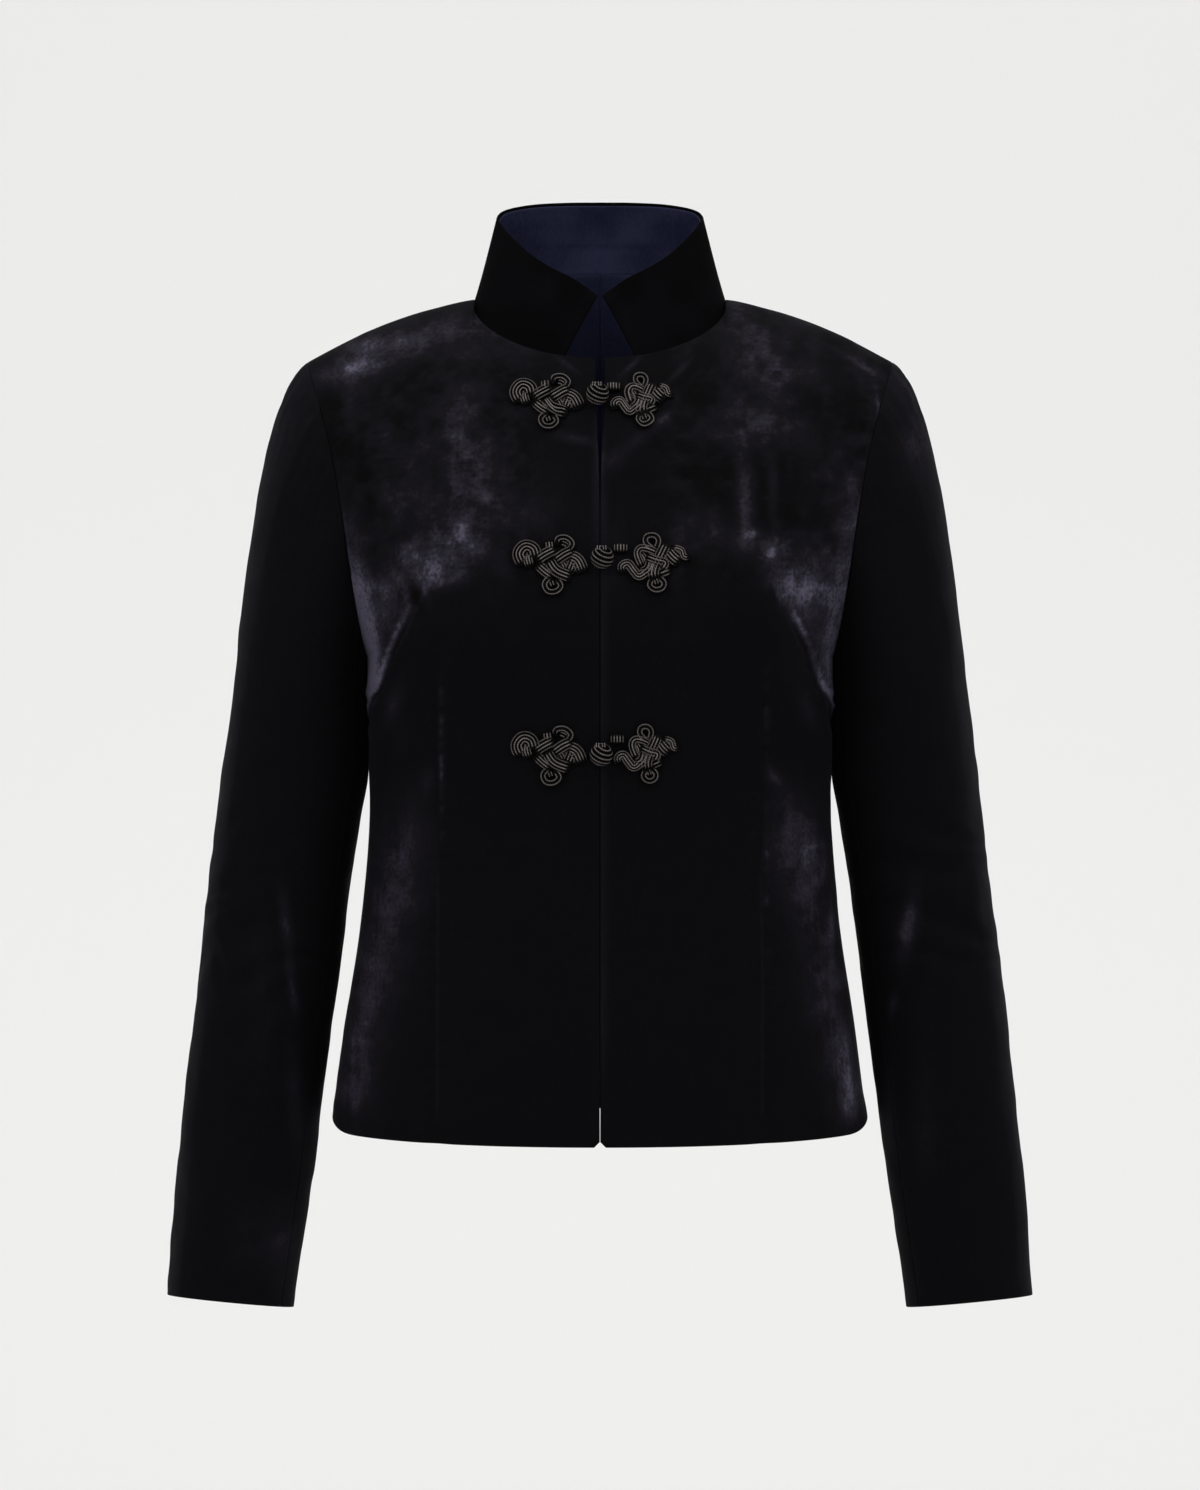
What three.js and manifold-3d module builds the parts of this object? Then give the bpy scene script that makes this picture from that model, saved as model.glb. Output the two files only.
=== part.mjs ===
// A short velvet jacket with a stand collar, fronts that meet edge to edge and three knotted frogs, standing
// hollow as it does on a wearer. Millimetres, +Z up, the front faces -Y.
// The origin is the middle of the neck, level with the tops of the shoulders.
import * as THREE from "three";
import { ConvexGeometry } from "three/addons/geometries/ConvexGeometry.js";
import { mergeVertices } from "three/addons/utils/BufferGeometryUtils.js";
import Module from "manifold-3d";

const wasm = await Module();
wasm.setup();

// Driving sizes
const VELVET = 2.0; // thickness of the velvet wall
const LINING = 1.0; // thickness of the lining and of the collar's inner side
const SEAM_GAP = 0.3; // clear space between neighbouring pieces
const SQUARENESS = 2.3; // 2 is an ellipse, more is squarer
const FRONT_GAP = 0.6; // half of the slit down the middle of the front
const NECK_GAP = 3.2; // the same slit at the neckline
const NECK_GAP_FROM = 9.2; // level where the slit starts to widen
const NECK_GAP_LEVELS = 4; // and how many levels it would take to open fully
const SEAM_SHARE = 0.55; // how much of the seam gap each of two neighbours gives up
const MITRE_LIMIT = 1.5; // how far a seam's corner may stand out, in wall thicknesses
const MITRE_FILL = 0.5; // share of the thickness lost to that limit which each wall keeps on its own side
const SAME_LEAN = 0.98; // normals whose cosine is above this count as one where seams meet
const ALIKE = 0.01; // two diagonals this near in length count as equal
const DART = { depth: 2.2, wide: 7, fadesAt: 6.5 }; // crease down each waist dart, up to a level

// Levels 0 to 10, from the hem to the chest: height and depth down the middle of the front and of the back,
// and how far from the middle the front waist dart lies.
const MIDDLE = [
  { level: "hem", frontZ: -541, front: 118, backZ: -538, back: 122, dart: 102.5 },
  { level: "hip", frontZ: -476, front: 114.5, backZ: -474, back: 117, dart: 102.5 },
  { level: "high hip", frontZ: -411, front: 108.5, backZ: -409, back: 105, dart: 102.5 },
  { level: "waist", frontZ: -346, front: 104, backZ: -344, back: 93.5, dart: 102.5 },
  { level: "ribs", frontZ: -290, front: 107.5, backZ: -289, back: 98, dart: 102 },
  { level: "underarm", frontZ: -237, front: 112, backZ: -236, back: 106, dart: 101 },
  { level: "low armhole", frontZ: -221, front: 112, backZ: -219, back: 107.5, dart: 100.5 },
  { level: "bust", frontZ: -202, front: 111, backZ: -198, back: 108.8, dart: 100 },
  { level: "high bust", frontZ: -175, front: 106.5, backZ: -168, back: 109.5, dart: 99 },
  { level: "armhole", frontZ: -146, front: 98.5, backZ: -137, back: 108, dart: 98 },
  { level: "chest", frontZ: -116, front: 89, backZ: -106, back: 103.5, dart: 97 },
];
// Side seam, levels 0 to 5.
const SIDE = [
  { x: 173.6, z: -538.5 },
  { x: 165.4, z: -473 },
  { x: 155.8, z: -409 },
  { x: 150.0, z: -345 },
  { x: 149.9, z: -289 },
  { x: 151.0, z: -234 },
];
// Armhole edge of the front and of the back, levels 5 to 10.
const ARMHOLE_FRONT = [
  { x: 151.0, y: 0, z: -234 },
  { x: 152.0, y: -19, z: -229 },
  { x: 155.0, y: -35, z: -211 },
  { x: 159.5, y: -47, z: -181 },
  { x: 164.0, y: -51.5, z: -148 },
  { x: 169.5, y: -47.5, z: -116 },
];
const ARMHOLE_BACK = [
  { x: 151.0, y: 0, z: -234 },
  { x: 152.0, y: 19, z: -229 },
  { x: 155.5, y: 36, z: -211 },
  { x: 161.0, y: 49, z: -181 },
  { x: 167.0, y: 54, z: -148 },
  { x: 173.0, y: 53, z: -116 },
];
const UNDERARM = 5; // the level where the side seam ends
const CHEST = 10; // the level where the yoke over the shoulder starts
const BUST = { x: 92, z: -207, rise: 9, wide: 44, above: 62, below: 50, edge: 30 };
const YOKE = { rise: 0.9, arrive: 0.75 }; // fullness of the yoke at the chest and at the top edge
const AT_NECK = { level: 0.45, up: 0.9 }; // direction in which the cloth meets the neckline

// Neckline: an oval ring, low in front. Angles run from the front (0) by the shoulder to the back (180).
const NECK = { half: 82, middleY: 1, depth: 61, middleZ: -10.5, tilt: 34.5, sideLift: 6 };
const SHOULDER_POINT = { x: 190, y: 3, z: -42 };
const SHOULDER_RISE = 6; // how far the shoulder seam curves up between its ends
const FRONT_NECK_DEGREES = [15.6, 30, 45, 61, 78, 96];
const BACK_NECK_DEGREES = [96, 112, 129, 146, 163, 180];
// Top edge of the collar, one row for each neckline angle above.
const COLLAR_TOP = [
  { x: 1.4, y: -50, z: -4 },
  { x: 17, y: -43.5, z: 7.5 },
  { x: 31, y: -35, z: 15.5 },
  { x: 44, y: -22.5, z: 25 },
  { x: 55.8, y: -7, z: 37 },
  { x: 63.7, y: 8, z: 47 },
  { x: 67.6, y: 20, z: 54.8 },
  { x: 62, y: 29.5, z: 61 },
  { x: 44.6, y: 36, z: 65.3 },
  { x: 22.5, y: 38.8, z: 67 },
  { x: 0, y: 39.5, z: 67.3 },
];
const COLLAR_BULGE = 1.2; // how far the collar bows out half way up

// Sleeve: the middle and half sizes of each ring, from the cuff up to the upper arm.
const SLEEVE = [
  { ring: "cuff", x: 237.9, y: -24, z: -649, wide: 40.8, deep: 38 },
  { ring: "wrist", x: 231.8, y: -17, z: -587, wide: 43.3, deep: 40 },
  { ring: "forearm", x: 224.8, y: -8, z: -522, wide: 44.6, deep: 43.5 },
  { ring: "below the elbow", x: 217.4, y: 0, z: -457, wide: 45.2, deep: 47 },
  { ring: "elbow", x: 209.8, y: 6, z: -392, wide: 45.8, deep: 50.5 },
  { ring: "above the elbow", x: 201.8, y: 7, z: -327, wide: 46.2, deep: 53.5 },
  { ring: "upper arm", x: 195.9, y: 4, z: -262, wide: 43.4, deep: 55 },
];
const CAP_TOP = { x: -0.85, z: 0.5 }; // how the sleeve meets the shoulder
const CAP_UNDER = { x: -0.1, z: 1.0 }; // how it meets the underarm
const CAP_FULLNESS = 0.49;
const TANGENT_STEP = 0.2; // how far back a table is read to find its direction, in rows

// Frogs: flat cord laid in loops on the fronts. Routes are (x, z) from the middle of the frog, as its cord
// is knotted by hand: the wearer's right side is at -x. Wide passes lie flat, narrow ones stand on edge.
const FROG_SCALE = 0.96;
const FROGS = [
  { name: "top", x: -2.6, z: -74.7, reach: 0.87, tall: 0.95, knotX: 1, knotZ: 3.2 },
  { name: "middle", x: 0, z: -179, reach: 1, tall: 1, knotX: 1.4, knotZ: 3.6 },
  { name: "bottom", x: -0.8, z: -297.4, reach: 0.89, tall: 1, knotX: 1.6, knotZ: 0.8 },
];
const RIGHT_SIDE_PASSES = [
  {
    pass: "curl", width: 8.4, height: 3.2,
    route: [[-42.2, 3.4], [-43.9, 9.6], [-48.6, 11.2], [-52.1, 6.5], [-49.4, -0.2]],
  },
  {
    pass: "diagonal", width: 6.6, height: 2.6,
    route: [[-41.9, 2.5], [-36, 6.5], [-28.5, 10.4]],
  },
  {
    pass: "stub", width: 4.5, height: 2.2,
    route: [[-33.5, 15.9], [-32.8, 9.6]],
  },
  {
    pass: "top loop", width: 3.4, height: 2.8,
    route: [[-28.5, 12.5], [-27.3, 17], [-21.8, 17.5], [-17.9, 13.5], [-21, 8.6]],
  },
  {
    pass: "over", width: 6.6, height: 3.2,
    route: [[-16.5, 9.2], [-22.6, 6.5], [-30, 1.5]],
  },
  {
    pass: "fan", width: 7.8, height: 2.6,
    route: [[-20.4, 5.5], [-14.4, 2.5], [-10.8, -5.2]],
  },
  {
    pass: "behind", width: 6.4, height: 2,
    route: [[-16.5, 3.7], [-20.2, -5.4]],
  },
  {
    pass: "sweep", width: 6.6, height: 3,
    route: [[-34, 3.2], [-28.5, -4.2], [-18.4, -8.5]],
  },
  {
    pass: "lower", width: 6, height: 2.2,
    route: [[-41.1, 0.4], [-36, -4.2], [-30.3, -8.3]],
  },
  {
    pass: "bottom loop", width: 3.4, height: 2.8,
    route: [[-31.8, -7.3], [-36, -12.4], [-34, -17.2], [-28.9, -17.6], [-25.4, -14], [-28.7, -8.9]],
  },
];
const LEFT_SIDE_PASSES = [
  {
    pass: "curl", width: 5.6, height: 2.8,
    route: [[15.4, -5.5], [14.4, -1.4], [18.2, 0.2], [21.9, -4.2], [25.4, -7.3], [30.8, -3.8]],
  },
  {
    pass: "rise", width: 6.4, height: 2.4,
    route: [[25.4, -6.3], [31.3, -3.2], [33.7, 3.9]],
  },
  {
    pass: "left loop", width: 4.4, height: 2.6,
    route: [[27.6, -2.2], [24.2, 6.4], [26, 10.4], [30.9, 10.2], [37.9, 7.4]],
  },
  {
    pass: "top loop", width: 3.4, height: 2.8,
    route: [[35.9, 8.4], [29.9, 13.9], [30.6, 18.2], [35.5, 18.7], [38, 15.1], [35.9, 8.8]],
  },
  {
    pass: "upright", width: 6.6, height: 2.6,
    route: [[43.1, 14.1], [40, 7.6], [34.8, -3.4], [35.3, -9.9]],
  },
  {
    pass: "bar", width: 4.6, height: 3.4,
    route: [[29.2, 5.5], [36.5, 2.7], [42.4, 0.9], [39.4, -4.4]],
  },
  {
    pass: "lobe", width: 8, height: 2.8,
    route: [[43.4, 9.9], [47.9, 4.7], [52.2, 1.6]],
  },
  {
    pass: "hook", width: 3.8, height: 2.4,
    route: [[46.1, 11.4], [52.6, 9.4], [54.4, 5.1], [58.8, 5.1]],
  },
  {
    pass: "tail", width: 5.2, height: 2.2,
    route: [[46.1, -3], [37.6, -6.4]],
  },
  {
    pass: "bottom loop", width: 3.4, height: 2.8,
    route: [[34.2, -8.3], [32.2, -13.4], [35.7, -16.4], [40.2, -15.4], [41.4, -11.8], [37.4, -7.7]],
  },
];
const CORD_LIFT = 0.5; // clear space between a cord and the cloth
const CORD_CROWN = 0.6; // how wide a cord is at its top, as a share
const KNOT = { half: 7.2, deep: 4.6 };

// Grid sizes
const LOWER_STEPS = 2; // rows for each level below the underarm
const YOKE_ROWS = 5;
const DART_COLUMN = 7;
const SHOULDER_COLUMNS = 8;
const COLLAR_ROWS = 4;
const SLEEVE_STEPS = 2; // rows for each ring of the sleeve's table
const HIND_SEAM_ROWS_DOWN = 5; // the sleeve's back seam leaves the armhole this many rows below the shoulder
const FORE_SEAM_ROWS_UP = 2; // and its front seam this many rows above the underarm
const CORD_STEP = 5; // length of a cord between two of its sections
const KNOT_SIDES = 12;
const KNOT_RINGS = 8;
const BARELY = 1e-6;
const MERGE_DISTANCE = 1e-4;

const radians = (degrees) => (degrees * Math.PI) / 180;
const lerp = (a, b, t) => a + (b - a) * t;
const point = (row) => new THREE.Vector3(row.x, row.y, row.z);

// Catmull-Rom value of one column of a table at a fractional row.
function along(rows, column, t) {
  const i = Math.min(Math.max(Math.floor(t), 0), rows.length - 2);
  const f = t - i;
  const at = (k) => {
    if (k < 0) return 2 * rows[0][column] - rows[1][column];
    if (k >= rows.length) return 2 * rows.at(-1)[column] - rows.at(-2)[column];
    return rows[k][column];
  };
  const [a, b, c, d] = [at(i - 1), at(i), at(i + 1), at(i + 2)];
  return b + 0.5 * f * (c - a + f * (2 * a - 5 * b + 4 * c - d + f * (3 * (b - c) + d - a)));
}

// Cubic from p0 to p1 with end tangents t0 and t1.
function hermite(p0, t0, p1, t1, t) {
  const t2 = t * t;
  const t3 = t2 * t;
  return new THREE.Vector3()
    .addScaledVector(p0, 2 * t3 - 3 * t2 + 1)
    .addScaledVector(t0, t3 - 2 * t2 + t)
    .addScaledVector(p1, 3 * t2 - 2 * t3)
    .addScaledVector(t1, t3 - t2);
}

// Point on the neckline ring.
function neckPoint(degrees) {
  const c = Math.cos(radians(degrees));
  const s = Math.sin(radians(degrees));
  return new THREE.Vector3(
    NECK.half * s,
    NECK.middleY - NECK.depth * c,
    NECK.middleZ - NECK.tilt * c + NECK.sideLift * s * s,
  );
}

// Point on the shoulder seam, from the neck (0) to the shoulder point (1).
function shoulderPoint(t) {
  const p = neckPoint(FRONT_NECK_DEGREES.at(-1)).lerp(point(SHOULDER_POINT), t);
  p.z += SHOULDER_RISE * Math.sin(Math.PI * t);
  return p;
}

// Where a level ends at the side: on the side seam, or on the armhole above it.
function edgePoint(level, armhole) {
  if (level <= UNDERARM) {
    return new THREE.Vector3(along(SIDE, "x", level), 0, along(SIDE, "z", level));
  }
  const t = level - UNDERARM;
  return new THREE.Vector3(along(armhole, "x", t), along(armhole, "y", t), along(armhole, "z", t));
}

// Extra depth over the bust: a soft mound that falls away more slowly above.
function bustRise(x, z) {
  const across = (x - BUST.x) / BUST.wide;
  const up = (z - BUST.z) / (z > BUST.z ? BUST.above : BUST.below);
  return BUST.rise * Math.exp(-across * across - up * up);
}

// How far the cloth is pulled in along a waist dart.
function dartCrease(level, x) {
  const across = (x - along(MIDDLE, "dart", level)) / DART.wide;
  const fade = Math.min(Math.max(DART.fadesAt - level, 0), 1);
  return DART.depth * fade * Math.exp(-across * across);
}

// A point of the body at a level. share runs from 0 at the middle to 1 at the dart line and 2 at the edge.
function bodyPoint(level, share, isFront) {
  const depth = along(MIDDLE, isFront ? "front" : "back", level);
  const middleZ = along(MIDDLE, isFront ? "frontZ" : "backZ", level);
  const edge = edgePoint(level, isFront ? ARMHOLE_FRONT : ARMHOLE_BACK);
  const power = SQUARENESS / 2;
  const edgeAngle = Math.acos((Math.abs(edge.y) / depth) ** power);
  const half = edge.x / Math.sin(edgeAngle) ** (1 / power);
  const angleAt = (x) => Math.asin(Math.min((x / half) ** power, 1));
  const opening = Math.max(0, (level - NECK_GAP_FROM) / NECK_GAP_LEVELS);
  const slit = lerp(FRONT_GAP, NECK_GAP, opening);
  const start = isFront ? angleAt(slit) : 0;
  const dart = angleAt(along(MIDDLE, "dart", level));
  const angle = share <= 1 ? lerp(start, dart, share) : lerp(dart, edgeAngle, share - 1);
  const x = half * Math.sin(angle) ** (1 / power);
  const y = depth * Math.cos(angle) ** (1 / power);
  const z = lerp(middleZ, edge.z, (x / edge.x) ** 2);
  const inside = Math.min((edge.x - x) / BUST.edge, 1);
  const out = (isFront ? inside * bustRise(x, z) : 0) - dartCrease(level, x);
  return new THREE.Vector3(x, isFront ? -y - out : y + out, z);
}

// Direction in which the cloth reaches the top edge: up the neck, or level over the shoulder.
function topDirection(column, neckColumns, side) {
  const overShoulder = Math.min(column / neckColumns, 1) ** 2;
  const level = side * lerp(AT_NECK.level, 1, overShoulder);
  return new THREE.Vector3(0, level, lerp(AT_NECK.up, 0, overShoulder)).normalize();
}

// Rows from the hem to the top edge, and columns from the middle to the side.
function bodyGrid(isFront) {
  const neckDegrees = isFront
    ? [Math.asin(NECK_GAP / NECK.half) * (180 / Math.PI), ...FRONT_NECK_DEGREES]
    : [...BACK_NECK_DEGREES].reverse();
  const neckColumns = neckDegrees.length - 1;
  const columns = neckColumns + SHOULDER_COLUMNS;
  const dartColumn = isFront ? DART_COLUMN : neckColumns + 1;
  const share = (c) => (c <= dartColumn ? c / dartColumn : 1 + (c - dartColumn) / (columns - dartColumn));
  const levels = [];
  for (let i = 0; i < UNDERARM * LOWER_STEPS; i++) levels.push(i / LOWER_STEPS);
  for (let level = UNDERARM; level <= CHEST; level++) levels.push(level);
  const grid = levels.map((level) =>
    Array.from({ length: columns + 1 }, (_, c) => bodyPoint(level, share(c), isFront)),
  );
  for (let r = 1; r <= YOKE_ROWS; r++) {
    grid.push(
      Array.from({ length: columns + 1 }, (_, c) => {
        const foot = bodyPoint(CHEST, share(c), isFront);
        const rise = foot.clone().sub(bodyPoint(CHEST - TANGENT_STEP, share(c), isFront)).normalize();
        const onShoulder = (c - neckColumns) / SHOULDER_COLUMNS;
        const top = onShoulder <= 0 ? neckPoint(neckDegrees[c]) : shoulderPoint(onShoulder);
        const reach = foot.distanceTo(top);
        const arrive = topDirection(c, neckColumns, isFront ? 1 : -1);
        rise.multiplyScalar(YOKE.rise * reach);
        arrive.multiplyScalar(YOKE.arrive * reach);
        return hermite(foot, rise, top, arrive, r / YOKE_ROWS);
      }),
    );
  }
  return grid;
}

// Length from the start of a line of points to each point, as a share of the whole.
function shares(points) {
  const sums = [0];
  for (let i = 1; i < points.length; i++) sums.push(sums[i - 1] + points[i].distanceTo(points[i - 1]));
  return sums.map((s) => s / sums.at(-1));
}

// A point of a sleeve ring. Angle 0 is the outer side and 90 degrees the back.
function sleevePoint(t, degrees) {
  const middle = (k) => new THREE.Vector3(...["x", "y", "z"].map((column) => along(SLEEVE, column, k)));
  const ahead = Math.min(t + TANGENT_STEP / 2, SLEEVE.length - 1);
  const behind = Math.max(t - TANGENT_STEP / 2, 0);
  const axis = middle(ahead).sub(middle(behind)).normalize();
  const outward = new THREE.Vector3(1, 0, 0).addScaledVector(axis, -axis.x).normalize();
  const back = new THREE.Vector3().crossVectors(axis, outward);
  return middle(t)
    .addScaledVector(outward, along(SLEEVE, "wide", t) * Math.cos(radians(degrees)))
    .addScaledVector(back, along(SLEEVE, "deep", t) * Math.sin(radians(degrees)));
}

// Rows from the cuff to the armhole. Columns run round from the shoulder down the back and up the front.
function sleeveGrid(front, back) {
  const rows = front.length - 1;
  const under = rows - UNDERARM - YOKE_ROWS;
  const edgeOf = (grid) => grid.slice(under).map((row) => row.at(-1));
  const downBack = edgeOf(back).reverse();
  const upFront = edgeOf(front);
  const loop = [...downBack, ...upFront.slice(1)];
  const halfTurn = (points, start) => shares(points).map((s) => start + 180 * s);
  const degrees = [...halfTurn(downBack, 0), ...halfTurn(upFront, 180).slice(1)];
  const top = SLEEVE.length - 1;
  const grid = [];
  for (let i = 0; i <= top * SLEEVE_STEPS; i++) {
    grid.push(degrees.map((d) => sleevePoint(i / SLEEVE_STEPS, d)));
  }
  for (let r = 1; r <= YOKE_ROWS; r++) {
    grid.push(
      degrees.map((d, k) => {
        const foot = sleevePoint(top, d);
        const reach = foot.distanceTo(loop[k]);
        const rise = foot.clone().sub(sleevePoint(top - TANGENT_STEP, d)).normalize().multiplyScalar(reach);
        const w = (1 + Math.cos(radians(d))) / 2;
        const arrive = new THREE.Vector3(lerp(CAP_UNDER.x, CAP_TOP.x, w), 0, lerp(CAP_UNDER.z, CAP_TOP.z, w));
        arrive.normalize().multiplyScalar(CAP_FULLNESS * reach);
        return hermite(foot, rise, loop[k], arrive, r / YOKE_ROWS);
      }),
    );
  }
  return grid;
}

// Rows from the seam to the top edge, and columns from the front end to the middle of the back.
function collarGrid() {
  const degrees = [...FRONT_NECK_DEGREES, ...BACK_NECK_DEGREES.slice(1)];
  return Array.from({ length: COLLAR_ROWS + 1 }, (_, r) =>
    degrees.map((d, c) => {
      const t = r / COLLAR_ROWS;
      const p = neckPoint(d).lerp(point(COLLAR_TOP[c]), t);
      const out = new THREE.Vector3(Math.sin(radians(d)), -Math.cos(radians(d)), 0);
      return p.addScaledVector(out, COLLAR_BULGE * Math.sin(Math.PI * t));
    }),
  );
}

// Outward unit normals of a grid, where side is 1 if columns cross rows outwards and -1 if inwards.
function normalsOf(grid, side) {
  const last = grid.length - 1;
  return grid.map((row, r) =>
    row.map((_, c) => {
      const across = row[Math.min(c + 1, row.length - 1)].clone().sub(row[Math.max(c - 1, 0)]);
      const up = grid[Math.min(r + 1, last)][c].clone().sub(grid[Math.max(r - 1, 0)][c]);
      return across.cross(up).multiplyScalar(side).normalize();
    }),
  );
}

const placeName = (p) => [p.x, p.y, p.z].map((v) => Math.round(v * 100)).join();

// Makes pieces that share a seam point lean the same way there, so that their edges are mitred together.
// Normals that are much the same count as one, so that two pieces of the body don't outweigh the sleeve.
function weldNormals(pieces) {
  const met = new Map();
  pieces.forEach(({ grid, normals }) =>
    grid.forEach((row, r) =>
      row.forEach((p, c) => {
        if (!met.has(placeName(p))) met.set(placeName(p), []);
        met.get(placeName(p)).push(normals[r][c]);
      }),
    ),
  );
  met.forEach((group) => {
    const mean = new THREE.Vector3();
    const alike = (n) => group.filter((other) => other.dot(n) > SAME_LEAN).length;
    group.forEach((n) => mean.addScaledVector(n, 1 / alike(n)));
    mean.normalize();
    const cosine = group.reduce((sum, n) => sum + n.dot(mean), 0) / group.length;
    const lost = Math.max(1 - MITRE_LIMIT * cosine, 0);
    const lean = Math.min(1 / cosine, MITRE_LIMIT);
    group.forEach((n) => n.multiplyScalar(MITRE_FILL * lost).addScaledVector(mean, lean));
  });
}

// Unit steps from each edge point of a grid into its own piece; inner points have none.
function inwardSteps(grid) {
  const last = grid.length - 1;
  return grid.map((row, r) =>
    row.map((p, c) => {
      const end = row.length - 1;
      const move = new THREE.Vector3();
      const step = (neighbour, a, b) => {
        const tangent = b.clone().sub(a).normalize();
        const inward = neighbour.clone().sub(p);
        move.add(inward.addScaledVector(tangent, -inward.dot(tangent)).normalize());
      };
      if (r === 0 || r === last) {
        step(grid[r ? r - 1 : 1][c], row[Math.max(c - 1, 0)], row[Math.min(c + 1, end)]);
      }
      if (c === 0 || c === end) {
        step(row[c ? c - 1 : 1], grid[Math.max(r - 1, 0)][c], grid[Math.min(r + 1, last)][c]);
      }
      return move.normalize();
    }),
  );
}

// Parts the pieces that share a seam point: each steps away from the plane midway between them.
function partSeams(pieces) {
  const met = new Map();
  pieces.forEach((piece) => {
    const steps = inwardSteps(piece.grid);
    piece.moves = steps.map((row) => row.map(() => new THREE.Vector3()));
    piece.grid.forEach((row, r) =>
      row.forEach((p, c) => {
        if (!met.has(placeName(p))) met.set(placeName(p), []);
        met.get(placeName(p)).push({ step: steps[r][c], move: piece.moves[r][c] });
      }),
    );
  });
  met.forEach((group) => {
    if (group.length < 2) return;
    const mean = group.reduce((sum, { step }) => sum.add(step), new THREE.Vector3());
    mean.divideScalar(group.length);
    group.forEach(({ step, move }) => {
      move.copy(step).sub(mean).normalize().multiplyScalar(SEAM_GAP * SEAM_SHARE);
    });
  });
}

// The grid moved inwards by a depth below the outer side.
const sink = (piece, depth) =>
  piece.grid.map((row, r) => row.map((p, c) => p.clone().addScaledVector(piece.normals[r][c], -depth)));

const shift = (grid, moves) => grid.map((row, r) => row.map((p, c) => p.clone().add(moves[r][c])));
const mirror = (grid) => grid.map((row) => row.map((p) => new THREE.Vector3(-p.x, p.y, p.z)));

// Closed wall between an outer and an inner grid. Each quad is cut along its shorter diagonal: faces as in
// the master grid, so that walls laid on each other are cut alike, and rims as they are, so that neighbours
// match.
function wallGeometry(master, outer, inner, side) {
  const rows = outer.length;
  const columns = outer[0].length;
  const places = [outer, inner];
  const index = [];
  const at = ({ r, c, layer }) => layer * rows * columns + r * columns + c;
  const quad = (corners, placeOf) => {
    const [a, b, c, d] = corners.map(placeOf);
    const cutAcross = a.distanceTo(c) > b.distanceTo(d) + ALIKE;
    const [e, f, g, h] = (cutAcross ? [...corners.slice(1), corners[0]] : corners).map(at);
    index.push(...(side > 0 ? [e, f, g, e, g, h] : [e, g, f, e, h, g]));
  };
  const onMaster = ({ r, c }) => master[r][c];
  const onWall = ({ r, c, layer }) => places[layer][r][c];
  const [last, end] = [rows - 1, columns - 1];
  const corner = (r, c, layer) => ({ r, c, layer });
  for (let r = 0; r < last; r++) {
    const up = r + 1;
    for (let c = 0; c < end; c++) {
      const right = c + 1;
      quad([corner(r, c, 0), corner(r, right, 0), corner(up, right, 0), corner(up, c, 0)], onMaster);
      quad([corner(r, c, 1), corner(up, c, 1), corner(up, right, 1), corner(r, right, 1)], onMaster);
    }
    quad([corner(r, 0, 0), corner(up, 0, 0), corner(up, 0, 1), corner(r, 0, 1)], onWall);
    quad([corner(r, end, 1), corner(up, end, 1), corner(up, end, 0), corner(r, end, 0)], onWall);
  }
  for (let c = 0; c < end; c++) {
    const right = c + 1;
    quad([corner(0, c, 1), corner(0, right, 1), corner(0, right, 0), corner(0, c, 0)], onWall);
    quad([corner(last, c, 0), corner(last, right, 0), corner(last, right, 1), corner(last, c, 1)], onWall);
  }
  const geometry = new THREE.BufferGeometry();
  const position = places.flat(2).flatMap((p) => [p.x, p.y, p.z]);
  geometry.setAttribute("position", new THREE.Float32BufferAttribute(position, 3));
  geometry.setIndex(index);
  geometry.computeVertexNormals();
  return geometry;
}

const velvet = new THREE.MeshStandardMaterial({ color: 0x08080d, roughness: 0.85, metalness: 0 });
const satin = new THREE.MeshStandardMaterial({ color: 0x191b38, roughness: 0.4, metalness: 0 });
const braid = new THREE.MeshStandardMaterial({ color: 0x3a322d, roughness: 0.5, metalness: 0.1 });

const jacket = new THREE.Group();
function addMesh(name, geometry, material) {
  const mesh = new THREE.Mesh(geometry, material);
  mesh.name = name;
  jacket.add(mesh);
}

// One wall between two depths below a piece's outer side. side is -1 for a grid that runs inwards.
function addWall(name, piece, from, to, material, side) {
  const outer = shift(sink(piece, from), piece.moves);
  const inner = shift(sink(piece, to), piece.moves);
  addMesh(name, wallGeometry(piece.grid, outer, inner, side), material);
}

const eachGrid = (piece, change) =>
  Object.fromEntries(["grid", "normals", "moves"].map((key) => [key, change(piece[key])]));
const flip = (piece) => eachGrid(piece, mirror);

// A half piece and its mirror image joined into one, where the half's first column is the middle.
const bothHalves = (piece) =>
  eachGrid(piece, (half) => {
    const other = mirror(half);
    return half.map((row, r) => [...other[r].slice(1).reverse(), ...row]);
  });

const frontGrid = bodyGrid(true);
const backGrid = bodyGrid(false);
const sleeveRings = sleeveGrid(frontGrid, backGrid);
const collarRows = collarGrid();
const front = { grid: frontGrid, normals: normalsOf(frontGrid, 1) };
const back = { grid: backGrid, normals: normalsOf(backGrid, -1) };
const sleeve = { grid: sleeveRings, normals: normalsOf(sleeveRings, 1) };
const collar = { grid: collarRows, normals: normalsOf(collarRows, 1) };

// The middle of the back is its own mirror image, and a sleeve's first and last columns are one.
back.normals.forEach((row) => row[0].setX(0).normalize());
collar.normals.forEach((row) => row.at(-1).setX(0).normalize());
sleeve.normals.forEach((row) => {
  row[0].add(row.at(-1)).normalize();
  row.at(-1).copy(row[0]);
});
weldNormals([front, back, sleeve, collar]);

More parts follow.
